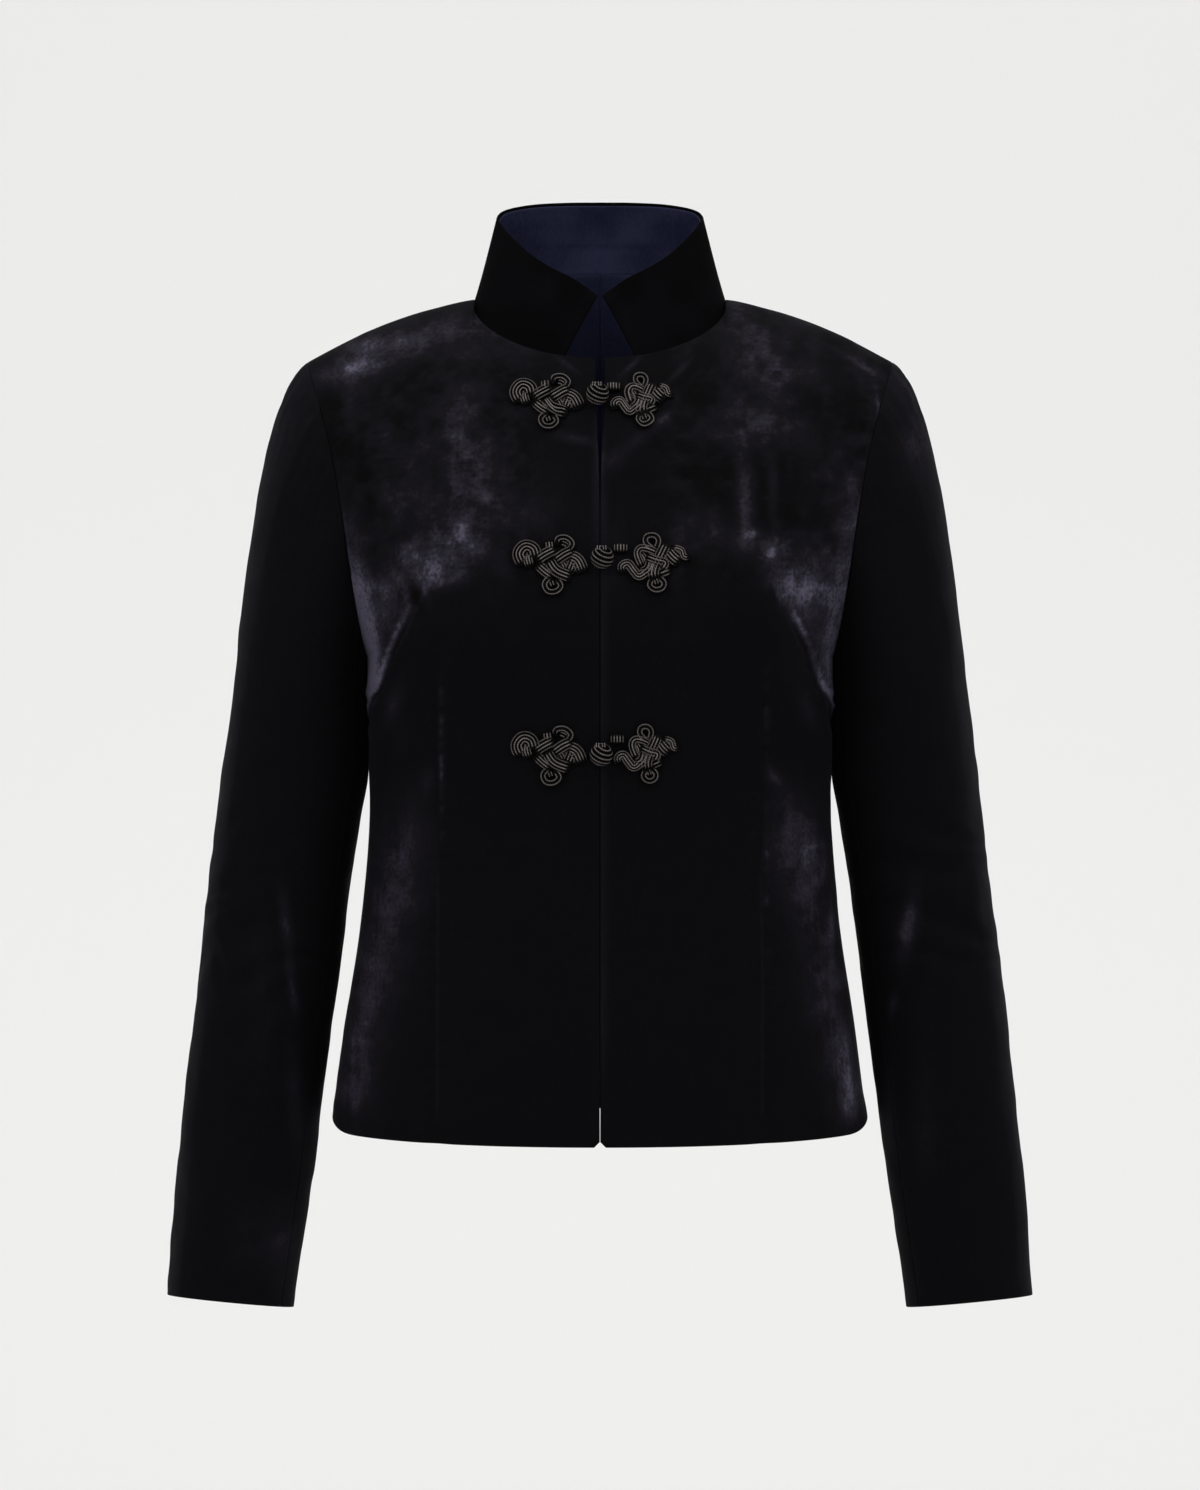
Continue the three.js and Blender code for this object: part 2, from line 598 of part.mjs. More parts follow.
// Each sleeve is an upper and an under piece, cut apart at the hind and the fore seam.
const turn = sleeveRings[0].length - 1;
const foreSeam = turn / 2 + FORE_SEAM_ROWS_UP;
const sleevePiece = (pick) => ({ grid: sleeve.grid.map(pick), normals: sleeve.normals.map(pick) });
const underSleeve = sleevePiece((row) => row.slice(HIND_SEAM_ROWS_DOWN, foreSeam + 1));
const upperSleeve = sleevePiece((row) => [
  ...row.slice(foreSeam, turn),
  ...row.slice(0, HIND_SEAM_ROWS_DOWN + 1),
]);
partSeams([front, back, upperSleeve, underSleeve, collar]);

addWall("front_left", front, 0, VELVET, velvet, 1);
addWall("front_right", flip(front), 0, VELVET, velvet, -1);
addWall("back", bothHalves(back), 0, VELVET, velvet, -1);
addWall("sleeve_upper_left", upperSleeve, 0, VELVET, velvet, 1);
addWall("sleeve_under_left", underSleeve, 0, VELVET, velvet, 1);
addWall("sleeve_upper_right", flip(upperSleeve), 0, VELVET, velvet, -1);
addWall("sleeve_under_right", flip(underSleeve), 0, VELVET, velvet, -1);

// The collar runs from one front end round the back to the other, and has an inner side of satin.
const innerFrom = VELVET + SEAM_GAP;
const innerTo = innerFrom + LINING;
const wholeCollar = bothHalves(eachGrid(collar, (grid) => grid.map((row) => [...row].reverse())));
addWall("collar", wholeCollar, 0, VELVET, velvet, -1);
addWall("collar_facing", wholeCollar, innerFrom, innerTo, satin, -1);

// The back lining is in two halves with a seam down the middle.
const liningHalf = eachGrid(back, (grid) => grid.map((row) => row.map((p) => p.clone())));
liningHalf.moves.forEach((row) => row[0].setX(SEAM_GAP / 2));
addWall("lining_back_left", liningHalf, innerFrom, innerTo, satin, -1);
addWall("lining_back_right", flip(liningHalf), innerFrom, innerTo, satin, 1);

// Place on the outer side of the fronts in front of a point (x, z), with the way out of the cloth there.
function onFront(x, z) {
  const { grid, normals } = front;
  const q = new THREE.Vector2(Math.abs(x), z);
  const flat = (p) => new THREE.Vector2(p.x, p.z);
  for (let r = 0; r < grid.length - 1; r++) {
    for (let c = 0; c < grid[0].length - 1; c++) {
      const corners = [[r, c], [r, c + 1], [r + 1, c + 1], [r + 1, c]];
      for (const trio of [[0, 1, 2], [0, 2, 3]]) {
        const [a, b, d] = trio.map((k) => corners[k]);
        const [pa, pb, pd] = [a, b, d].map(([i, j]) => grid[i][j]);
        const e1 = flat(pb).sub(flat(pa));
        const e2 = flat(pd).sub(flat(pa));
        const w = q.clone().sub(flat(pa));
        const area = e1.cross(e2);
        const u = w.cross(e2) / area;
        const v = e1.cross(w) / area;
        if (u < -BARELY || v < -BARELY || u + v > 1 + BARELY) continue;
        const mix = (from) => {
          const [fa, fb, fd] = [a, b, d].map(([i, j]) => from[i][j]);
          return fa.clone().multiplyScalar(1 - u - v).addScaledVector(fb, u).addScaledVector(fd, v);
        };
        const place = mix(grid);
        const out = mix(normals).normalize();
        if (x < 0) [place, out].forEach((p) => p.setX(-p.x));
        return { place, out };
      }
    }
  }
  throw new Error(`no cloth at ${x}, ${z}`);
}

function toSolid(geometry) {
  const g = geometry.clone();
  g.deleteAttribute("normal");
  g.deleteAttribute("uv");
  const merged = mergeVertices(g, MERGE_DISTANCE);
  return new wasm.Manifold(
    new wasm.Mesh({
      numProp: 3,
      vertProperties: new Float32Array(merged.attributes.position.array),
      triVerts: new Uint32Array(merged.index.array),
    }),
  );
}

function toGeometry(solid) {
  const mesh = solid.getMesh();
  const geometry = new THREE.BufferGeometry();
  geometry.setAttribute("position", new THREE.BufferAttribute(mesh.vertProperties, 3));
  geometry.setIndex(new THREE.BufferAttribute(mesh.triVerts, 1));
  geometry.computeVertexNormals();
  return geometry;
}

// A flat cord laid along a route on the front: four-sided, narrower at the top than at the cloth. It is
// joined from short blocks, so that it stays sound where it turns tightly or comes back on itself.
function cordOnFront(route, width, height) {
  const curve = new THREE.CatmullRomCurve3(route.map(([x, z]) => new THREE.Vector3(x, 0, z)));
  const steps = Math.max(Math.round(curve.getLength() / CORD_STEP), 2);
  const sections = Array.from({ length: steps + 1 }, (_, k) => {
    const at = curve.getPointAt(k / steps);
    const { place, out } = onFront(at.x, at.z);
    const across = curve.getTangentAt(k / steps).cross(out).normalize();
    const corner = (side, lift) =>
      place.clone().addScaledVector(across, (side * width) / 2).addScaledVector(out, lift);
    const top = CORD_LIFT + height;
    return [
      corner(1, CORD_LIFT),
      corner(-1, CORD_LIFT),
      corner(-CORD_CROWN, top),
      corner(CORD_CROWN, top),
    ];
  });
  const blocks = sections.slice(1).map((end, k) => toSolid(new ConvexGeometry([...sections[k], ...end])));
  return blocks.reduce((sum, block) => sum.add(block));
}

// The passes joined into one solid, without slivers left where two of them touch.
function joined(passes) {
  const whole = passes.reduce((sum, pass) => sum.add(pass));
  return whole.decompose().reduce((largest, body) => (body.volume() > largest.volume() ? body : largest));
}

// A ball knot in front of the slit, resting on the fronts' edges.
function ballOnFront(x, z, half, deep) {
  const { place, out } = onFront(NECK_GAP + 1, z);
  out.setX(0).normalize();
  const reach = Math.hypot(deep * out.y, half * out.z);
  const centre = place.setX(x).addScaledVector(out, CORD_LIFT + reach);
  const ball = new THREE.SphereGeometry(1, KNOT_SIDES, KNOT_RINGS);
  ball.scale(half, deep, half);
  ball.translate(centre.x, centre.y, centre.z);
  return ball;
}

FROGS.forEach((frog) => {
  const ornament = (passes, reach) =>
    joined(
      passes.map(({ route, width, height }) => {
        const [across, up] = [FROG_SCALE * reach, FROG_SCALE * frog.tall];
        const placed = route.map(([x, z]) => [frog.x + x * across, frog.z + z * up]);
        return cordOnFront(placed, width * FROG_SCALE, height);
      }),
    );
  addMesh(`frog_${frog.name}_right`, toGeometry(ornament(RIGHT_SIDE_PASSES, 1)), braid);
  addMesh(`frog_${frog.name}_left`, toGeometry(ornament(LEFT_SIDE_PASSES, frog.reach)), braid);
  const knot = ballOnFront(frog.x + frog.knotX, frog.z + frog.knotZ, KNOT.half, KNOT.deep);
  addMesh(`frog_${frog.name}_knot`, knot, braid);
});

export default jacket;
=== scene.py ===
"""Dresses a short velvet jacket with a stand collar: cloth shells, puckers, lining and knotted frogs.

Lengths in the tables are millimetres in the part's own frame: +Z up, the front faces -Y, and the origin is
the middle of the neck, level with the tops of the shoulders. Meshes are made in metres.
"""

from __future__ import annotations

import logging
import math
from dataclasses import dataclass, field
from enum import Enum

import bpy
import numpy as np
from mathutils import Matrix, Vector


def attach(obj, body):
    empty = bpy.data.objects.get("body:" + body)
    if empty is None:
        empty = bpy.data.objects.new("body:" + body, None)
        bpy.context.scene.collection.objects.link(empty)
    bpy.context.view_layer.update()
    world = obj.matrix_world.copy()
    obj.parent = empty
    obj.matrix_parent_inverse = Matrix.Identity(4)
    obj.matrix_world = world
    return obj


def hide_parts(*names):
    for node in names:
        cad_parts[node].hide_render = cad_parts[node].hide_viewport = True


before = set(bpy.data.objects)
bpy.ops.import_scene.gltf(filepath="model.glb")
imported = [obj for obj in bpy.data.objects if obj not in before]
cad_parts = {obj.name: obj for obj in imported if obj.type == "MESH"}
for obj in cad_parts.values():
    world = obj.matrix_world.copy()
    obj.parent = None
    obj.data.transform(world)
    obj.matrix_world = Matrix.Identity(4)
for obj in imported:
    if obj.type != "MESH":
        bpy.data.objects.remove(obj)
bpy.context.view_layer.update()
BODY = "root"
MM = 0.001
NOISE_SIZE = (61, 67)
Array = np.ndarray
log = logging.getLogger("jacket")


class Half(Enum):
    """The front or the back of the body, with the way it faces along Y."""

    FRONT = -1
    BACK = 1


class Side(Enum):
    """The wearer's left or right, with its sign along X."""

    LEFT = 1
    RIGHT = -1


# First seeds of the random heights; each piece counts up from its own.
FRONT_SEED = {Side.LEFT: 11, Side.RIGHT: 23}
FRONT_NAP_SEED = {Side.LEFT: 31, Side.RIGHT: 47}
SLEEVE_SEED = {Side.LEFT: 101, Side.RIGHT: 137}
SLEEVE_NAP_SEED = {Side.LEFT: 151, Side.RIGHT: 163}


def spline(rows: Array, t: Array) -> Array:
    """Catmull-Rom curve through the rows of a table, straight past its ends.

    Args:
        rows: values, one for each whole number of t, or points with coordinates last.
        t: places along the table.
    Returns:
        The values at t.
    """
    rows = np.asarray(rows, float)
    t = np.asarray(t, float)
    padded = np.concatenate([[2 * rows[0] - rows[1]], rows, [2 * rows[-1] - rows[-2]]])
    i = np.clip(np.floor(t).astype(int), 0, len(rows) - 2)
    f = (t - i)[..., None] if rows.ndim > 1 else t - i
    a, b, c, d = (padded[i + k] for k in range(4))
    return b + 0.5 * f * (c - a + f * (2 * a - 5 * b + 4 * c - d + f * (3 * (b - c) + d - a)))


def hermite(p0: Array, t0: Array, p1: Array, t1: Array, t: Array) -> Array:
    """Cubic from p0 to p1 with end tangents t0 and t1, at t from 0 to 1.

    Args:
        p0: start.
        t0: tangent at the start.
        p1: end.
        t1: tangent at the end.
        t: places between them, from 0 to 1.
    Returns:
        The points at t.
    """
    t = t[..., None]
    t2, t3 = t * t, t * t * t
    return (2 * t3 - 3 * t2 + 1) * p0 + (t3 - 2 * t2 + t) * t0 + (3 * t2 - 2 * t3) * p1 + (t3 - t2) * t1


def unit(v: Array) -> Array:
    """Vectors scaled to length 1."""
    return v / np.maximum(np.linalg.norm(v, axis=-1, keepdims=True), 1e-12)


def ease(t: Array) -> Array:
    """Smooth step from 0 to 1 as t goes from 0 to 1."""
    t = np.clip(t, 0, 1)
    return t * t * (3 - 2 * t)


def corner(gap: Array, radius: float) -> Array:
    """How far a quarter round of the radius lies over its square corner, by distance from the edge."""
    inside = np.clip(radius - gap, 0, radius)
    return radius - np.sqrt(radius * radius - inside * inside)


def bell(t: Array) -> Array:
    """Bell curve exp(-t squared)."""
    return np.exp(-np.square(t))


def unevenness(x: Array, y: Array, cell: float, seed: int) -> Array:
    """Smooth random height from -1 to 1, one draw for each cell, blended by a fifth-order step.

    Args:
        x: first lengths.
        y: second lengths, in the same unit.
        cell: length of a cell.
        seed: which table of random numbers is drawn.
    Returns:
        A height for each pair of lengths.
    """
    rows, cols = NOISE_SIZE
    table = np.random.default_rng(seed).uniform(-1, 1, NOISE_SIZE)
    u, v = np.broadcast_arrays(x / cell, y / cell)
    i, j = np.floor(u).astype(int), np.floor(v).astype(int)
    f, g = u - i, v - j
    f, g = (w * w * w * (w * (w * 6 - 15) + 10) for w in (f, g))
    at = [[table[(i + m) % rows, (j + n) % cols] for n in (0, 1)] for m in (0, 1)]
    low = at[0][0] * (1 - g) + at[0][1] * g
    high = at[1][0] * (1 - g) + at[1][1] * g
    return low * (1 - f) + high * f


def from_ends(count: int) -> Array:
    """Steps to the nearer end, for each of a row of points."""
    steps = np.arange(count)
    return np.minimum(steps, steps[::-1])


def lengths_along(points: Array) -> Array:
    """Length of a line of points from its first point to each of them."""
    steps = np.linalg.norm(np.diff(points, axis=0), axis=1)
    return np.concatenate([[0], np.cumsum(steps)])


def columns(rows: tuple, *names: str) -> Array:
    """Named columns of a table of dataclass rows, as an array with one column for each name."""
    return np.array([[getattr(row, name) for name in names] for row in rows], float)


@dataclass(frozen=True)
class Level:
    """One level of the body, down the middle of the front and of the back, with the waist dart's place."""

    front_z: float
    front: float
    back_z: float
    back: float
    dart: float


@dataclass(frozen=True)
class Spot:
    """A named row of coordinates."""

    x: float
    y: float
    z: float


LEVELS = (
    Level(-541, 118, -538, 122, 102.5),
    Level(-476, 114.5, -474, 117, 102.5),
    Level(-411, 108.5, -409, 105, 102.5),
    Level(-346, 104, -344, 93.5, 102.5),
    Level(-290, 107.5, -289, 98, 102),
    Level(-237, 112, -236, 106, 101),
    Level(-221, 112, -219, 107.5, 100.5),
    Level(-202, 111, -198, 108.8, 100),
    Level(-175, 106.5, -168, 109.5, 99),
    Level(-146, 98.5, -137, 108, 98),
    Level(-116, 89, -106, 103.5, 97),
)
SIDE_SEAM = (
    Spot(173.6, 0, -538.5),
    Spot(165.4, 0, -473),
    Spot(155.8, 0, -409),
    Spot(150.0, 0, -345),
    Spot(149.9, 0, -289),
    Spot(151.0, 0, -234),
)
ARMHOLE = {
    Half.FRONT: (
        Spot(151.0, 0, -234),
        Spot(152.0, -19, -229),
        Spot(155.0, -35, -211),
        Spot(159.5, -47, -181),
        Spot(164.0, -51.5, -148),
        Spot(169.5, -47.5, -116),
    ),
    Half.BACK: (
        Spot(151.0, 0, -234),
        Spot(152.0, 19, -229),
        Spot(155.5, 36, -211),
        Spot(161.0, 49, -181),
        Spot(167.0, 54, -148),
        Spot(173.0, 53, -116),
    ),
}


@dataclass(frozen=True)
class BodyForm:
    """The worn form of the body, worked out from the tables above."""

    underarm: int = 5
    chest: int = 10
    squareness: float = 2.3
    front_gap: float = 0.6
    neck_gap: float = 3.2
    neck_gap_from: float = 9.2
    neck_half: float = 82
    neck_middle_y: float = 1
    neck_depth: float = 61
    neck_middle_z: float = -10.5
    neck_tilt: float = 34.5
    neck_side_lift: float = 6
    shoulder: tuple[float, float, float] = (190, 3, -42)
    shoulder_rise: float = 6
    front_degrees: tuple[float, ...] = (15.6, 30, 45, 61, 78, 96)
    back_degrees: tuple[float, ...] = (96, 112, 129, 146, 163, 180)
    shoulder_columns: int = 8
    front_dart_column: int = 7
    bust: tuple[float, float] = (92, -207)
    bust_rise: float = 9
    bust_reach: tuple[float, float, float, float] = (44, 62, 50, 30)
    crease: tuple[float, float, float] = (2.2, 7, 6.5)

    def neck_point(self, degrees: Array) -> Array:
        """Points of the neckline, a tilted oval, from the front (0) to the back (180 degrees).

        Args:
            degrees: angles round the neck.
        Returns:
            The points, coordinates last.
        """
        c, s = np.cos(np.radians(degrees)), np.sin(np.radians(degrees))
        y = self.neck_middle_y - self.neck_depth * c
        z = self.neck_middle_z - self.neck_tilt * c + self.neck_side_lift * s * s
        return np.stack([self.neck_half * s, y, z], axis=-1)

    def shoulder_point(self, t: Array) -> Array:
        """Points of the shoulder seam, from the neck (0) to the shoulder point (1).

        Args:
            t: places along the seam.
        Returns:
            The points, coordinates last.
        """
        start = self.neck_point(np.array(self.front_degrees[-1]))
        line = start + (np.array(self.shoulder) - start) * t[..., None]
        line[..., 2] += self.shoulder_rise * np.sin(np.pi * t)
        return line

    def edge_point(self, half: Half, level: Array) -> Array:
        """Where a level ends at the side: on the side seam, or on the armhole above it.

        Args:
            half: front or back.
            level: places up the table of levels.
        Returns:
            The points, coordinates last.
        """
        seam = spline(columns(SIDE_SEAM, "x", "y", "z"), level)
        armhole = spline(columns(ARMHOLE[half], "x", "y", "z"), level - self.underarm)
        return np.where((level <= self.underarm)[..., None], seam, armhole)

    def column_shares(self, half: Half) -> tuple[int, int, int]:
        """Numbers of the columns at the neck's end, at the waist dart and at the side.

        Args:
            half: front or back.
        Returns:
            The three numbers.
        """
        neck = len(self.front_degrees) if half is Half.FRONT else len(self.back_degrees) - 1
        dart = self.front_dart_column if half is Half.FRONT else neck + 1
        return neck, dart, neck + self.shoulder_columns

    def body_point(self, half: Half, level: Array, column: Array) -> Array:
        """Points below the chest.

        Each level is a quarter of a squared ellipse, x = half width times sin(angle) to the power
        2 / squareness and y alike with cos, cut off where it meets the side seam or the armhole.
        Height follows x squared, the bust adds a soft mound and each waist dart takes a crease away.

        Args:
            half: front or back.
            level: places up the table of levels.
            column: places across the half, counted from the middle.
        Returns:
            The points, coordinates last.
        """
        _, dart_column, last = self.column_shares(half)
        share = np.where(
            column <= dart_column, column / dart_column, 1 + (column - dart_column) / (last - dart_column)
        )
        names = ("front", "front_z") if half is Half.FRONT else ("back", "back_z")
        table = spline(columns(LEVELS, *names, "dart"), level)
        depth, middle_z, dart_x = table[..., 0], table[..., 1], table[..., 2]
        edge = self.edge_point(half, level)
        power = self.squareness / 2
        edge_angle = np.arccos(np.clip(np.abs(edge[..., 1]) / depth, 0, 1) ** power)
        wide = edge[..., 0] / np.sin(edge_angle) ** (1 / power)
        dart_angle = np.arcsin(np.clip(dart_x / wide, 0, 1) ** power)
        rise = np.maximum(0, (level - self.neck_gap_from) / 4)
        slit = self.front_gap + (self.neck_gap - self.front_gap) * rise
        start = np.arcsin((slit / wide) ** power) if half is Half.FRONT else np.zeros_like(wide)
        inner = start + (dart_angle - start) * share
        outer = dart_angle + (edge_angle - dart_angle) * (share - 1)
        angle = np.where(share <= 1, inner, outer)
        x = wide * np.clip(np.sin(angle), 0, 1) ** (1 / power)
        y = depth * np.clip(np.cos(angle), 0, 1) ** (1 / power)
        z = middle_z + (edge[..., 2] - middle_z) * np.square(x / edge[..., 0])
        depth_of_crease, crease_wide, fades_at = self.crease
        out = -depth_of_crease * np.clip(fades_at - level, 0, 1) * bell((x - dart_x) / crease_wide)
        if half is Half.FRONT:
            wide_reach, above, below, edge_reach = self.bust_reach
            up = (z - self.bust[1]) / np.where(z > self.bust[1], above, below)
            mound = self.bust_rise * bell((x - self.bust[0]) / wide_reach) * bell(up)
            out = out + mound * np.clip((edge[..., 0] - x) / edge_reach, None, 1)
        return np.stack([x, half.value * (y + out), z], axis=-1)

    def surface(self, half: Half, level: Array, column: Array) -> Array:
        """Points of the whole half: levels 0 to 10, then over the yoke to the top edge at level 11.

        Args:
            half: front or back.
            level: places up the table of levels.
            column: places across the half, counted from the middle.
        Returns:
            The points, coordinates last.
        """
        level, column = np.broadcast_arrays(level, column)
        low = self.body_point(half, np.minimum(level, self.chest), column)
        neck, _, _ = self.column_shares(half)
        degrees = self.front_degrees if half is Half.FRONT else self.back_degrees[::-1]
        if half is Half.FRONT:
            degrees = (math.degrees(math.asin(self.neck_gap / self.neck_half)),) + degrees
        on_neck = self.neck_point(np.interp(column, np.arange(neck + 1), degrees))
        on_shoulder = self.shoulder_point(np.clip((column - neck) / self.shoulder_columns, 0, 1))
        top = np.where((column <= neck)[..., None], on_neck, on_shoulder)
        foot = self.body_point(half, np.full_like(level, self.chest), column)
        rise = unit(foot - self.body_point(half, np.full_like(level, self.chest - 0.2), column))
        over = np.clip(column / neck, 0, 1) ** 2
        arrive = unit(np.stack([0 * over, -half.value * (0.45 + 0.55 * over), 0.9 * (1 - over)], axis=-1))
        reach = np.linalg.norm(foot - top, axis=-1, keepdims=True)
        over_yoke = np.clip(level - self.chest, 0, 1)
        yoke = hermite(foot, 0.9 * reach * rise, top, 0.75 * reach * arrive, over_yoke)
        return np.where((level > self.chest)[..., None], yoke, low)


FORM = BodyForm()


def round_hem(grid: Array, lift: Array) -> Array:
    """Lifts the hem by the given heights, fading out over the 28 mm above it.

    Args:
        grid: outer points, rows by columns by coordinates, in millimetres.
        lift: height at each point, of which the lowest row counts.
    Returns:
        The grid with its hem lifted.
    """
    fade = ease(1 - (grid[..., 2] - grid[:1, :, 2]) / 28)
    result = grid.copy()
    result[..., 2] += lift[:1] * fade
    return result


class Shell:
    """A thin closed cloth wall on a grid, with its edges turned in a half round."""

    def __init__(self, grid: Array, thickness: float, facing: float, turn: float = 0.5) -> None:
        """Keeps what the wall is made from.

        Args:
            grid: outer points, rows by columns by coordinates, in millimetres.
            thickness: of the wall.
            facing: 1 where columns cross rows outwards, -1 where inwards.
            turn: how far the rounded edge stands out past the wall's faces.
        """
        self.thickness = thickness
        self.facing = facing
        self.turn = turn
        self.grid = grid
        self.values: dict[str, Array] = {}

    def normals(self) -> Array:
        """Unit normals of the grid, outwards: the cross of its two slopes.

        Returns:
            One normal for each point.
        """
        across = np.gradient(self.grid, axis=1)
        up = np.gradient(self.grid, axis=0)
        return unit(np.cross(across, up)) * self.facing

    def raise_by(self, height: Array) -> None:
        """Moves each outer point along its normal by a height in millimetres."""
        self.grid = self.grid + self.normals() * height[..., None]

    @staticmethod
    def _rim(rows: int, cols: int) -> Array:
        """Indices of the grid's border, once round."""
        index = np.arange(rows * cols).reshape(rows, cols)
        return np.concatenate([index[0, :-1], index[:-1, -1], index[-1, :0:-1], index[:0:-1, 0]])

    def build(self, material: bpy.types.Material, slot: str, node: str) -> bpy.types.Object:
        """Makes the mesh object in place of a node.

        It has the outer face, the inner face and three loops round the edge.

        Args:
            material: what the piece looks like.
            slot: the record's name for that look; not used.
            node: the CAD node that the piece stands for.
        Returns:
            The object.
        """
        rows, cols, _ = self.grid.shape
        normals = self.normals()
        outer = self.grid.copy()
        outward = np.zeros_like(outer)
        outward[0] += unit(outer[0] - outer[1])
        outward[-1] += unit(outer[-1] - outer[-2])
        outward[:, 0] += unit(outer[:, 0] - outer[:, 1])
        outward[:, -1] += unit(outer[:, -1] - outer[:, -2])
        outward = unit(outward) * (np.linalg.norm(outward, axis=-1, keepdims=True) > 0)
        outer = outer - outward * self.turn
        inner = outer - normals * self.thickness
        rim = self._rim(rows, cols)
        points = [outer.reshape(-1, 3), inner.reshape(-1, 3)]
        top, low, side = points[0][rim], points[1][rim], outward.reshape(-1, 3)[rim]
        middle, half = (top + low) / 2, (top - low) / 2
        for turn in (math.pi / 4, math.pi / 2, 3 * math.pi / 4):
            points.append(middle + half * math.cos(turn) + side * self.turn * math.sin(turn))
        index = np.arange(rows * cols).reshape(rows, cols)
        a, b, c, d = (
            index[:-1, :-1].ravel(), index[:-1, 1:].ravel(), index[1:, 1:].ravel(), index[1:, :-1].ravel()
        )
        faces = [np.stack([a, b, c, d], axis=1), np.stack([a, d, c, b], axis=1) + rows * cols]
        start, count = 2 * rows * cols, len(rim)
        loops = [rim] + [start + k * count + np.arange(count) for k in range(3)] + [rim + rows * cols]
        for first, second in zip(loops[:-1], loops[1:]):
            faces.append(np.stack([first, second, np.roll(second, -1), np.roll(first, -1)], axis=1))
        quads = np.concatenate(faces)
        if self.facing < 0:
            quads = quads[:, ::-1]
        obj = mesh_object(f"{node}_cloth", np.concatenate(points), quads)
        flat = {key: value.reshape(-1) for key, value in self.values.items()}
        values = {key: np.concatenate([v, v] + [v[rim]] * 3) for key, v in flat.items()}
        finish_piece(obj, values, material, node)
        cell = np.cross(self.grid[1:, 1:] - self.grid[:-1, :-1], self.grid[1:, :-1] - self.grid[:-1, 1:])
        area = np.linalg.norm(cell, axis=-1).sum() / 2 * MM * MM
        log.info("%s: %d faces, %.4f square metres of cloth", obj.name, len(quads), area)
        return obj


def mesh_object(name: str, points: Array, quads: Array) -> bpy.types.Object:
    """A smooth mesh object at the origin from points in millimetres and four-sided faces.

    Args:
        name: the object's name.
        points: coordinates, one row for each point.
        quads: the four points of each face.
    Returns:
        The object, linked to the scene.
    """
    mesh = bpy.data.meshes.new(name)
    mesh.vertices.add(len(points))
    mesh.vertices.foreach_set("co", (points * MM).astype(np.float32).ravel())
    mesh.loops.add(quads.size)
    mesh.loops.foreach_set("vertex_index", quads.astype(np.int32).ravel())
    mesh.polygons.add(len(quads))
    mesh.polygons.foreach_set("loop_start", np.arange(0, quads.size, 4, dtype=np.int32))
    mesh.polygons.foreach_set("use_smooth", np.ones(len(quads), bool))
    mesh.update(calc_edges=True)
    mesh.validate()
    obj = bpy.data.objects.new(name, mesh)
    bpy.context.scene.collection.objects.link(obj)
    return obj


def finish_piece(
    obj: bpy.types.Object, values: dict[str, Array], material: bpy.types.Material, node: str
) -> None:
    """Gives a piece its point values and its look, and puts it in place of a CAD node.

    Args:
        obj: the piece.
        values: a number for each point, by name.
        material: what it looks like.
        node: the CAD node that it stands for.
    """
    for key, value in values.items():
        layer = obj.data.attributes.new(key, "FLOAT", "POINT")
        layer.data.foreach_set("value", value.astype(np.float32))
    obj.data.materials.append(material)
    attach(obj, BODY)
    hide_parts(node)


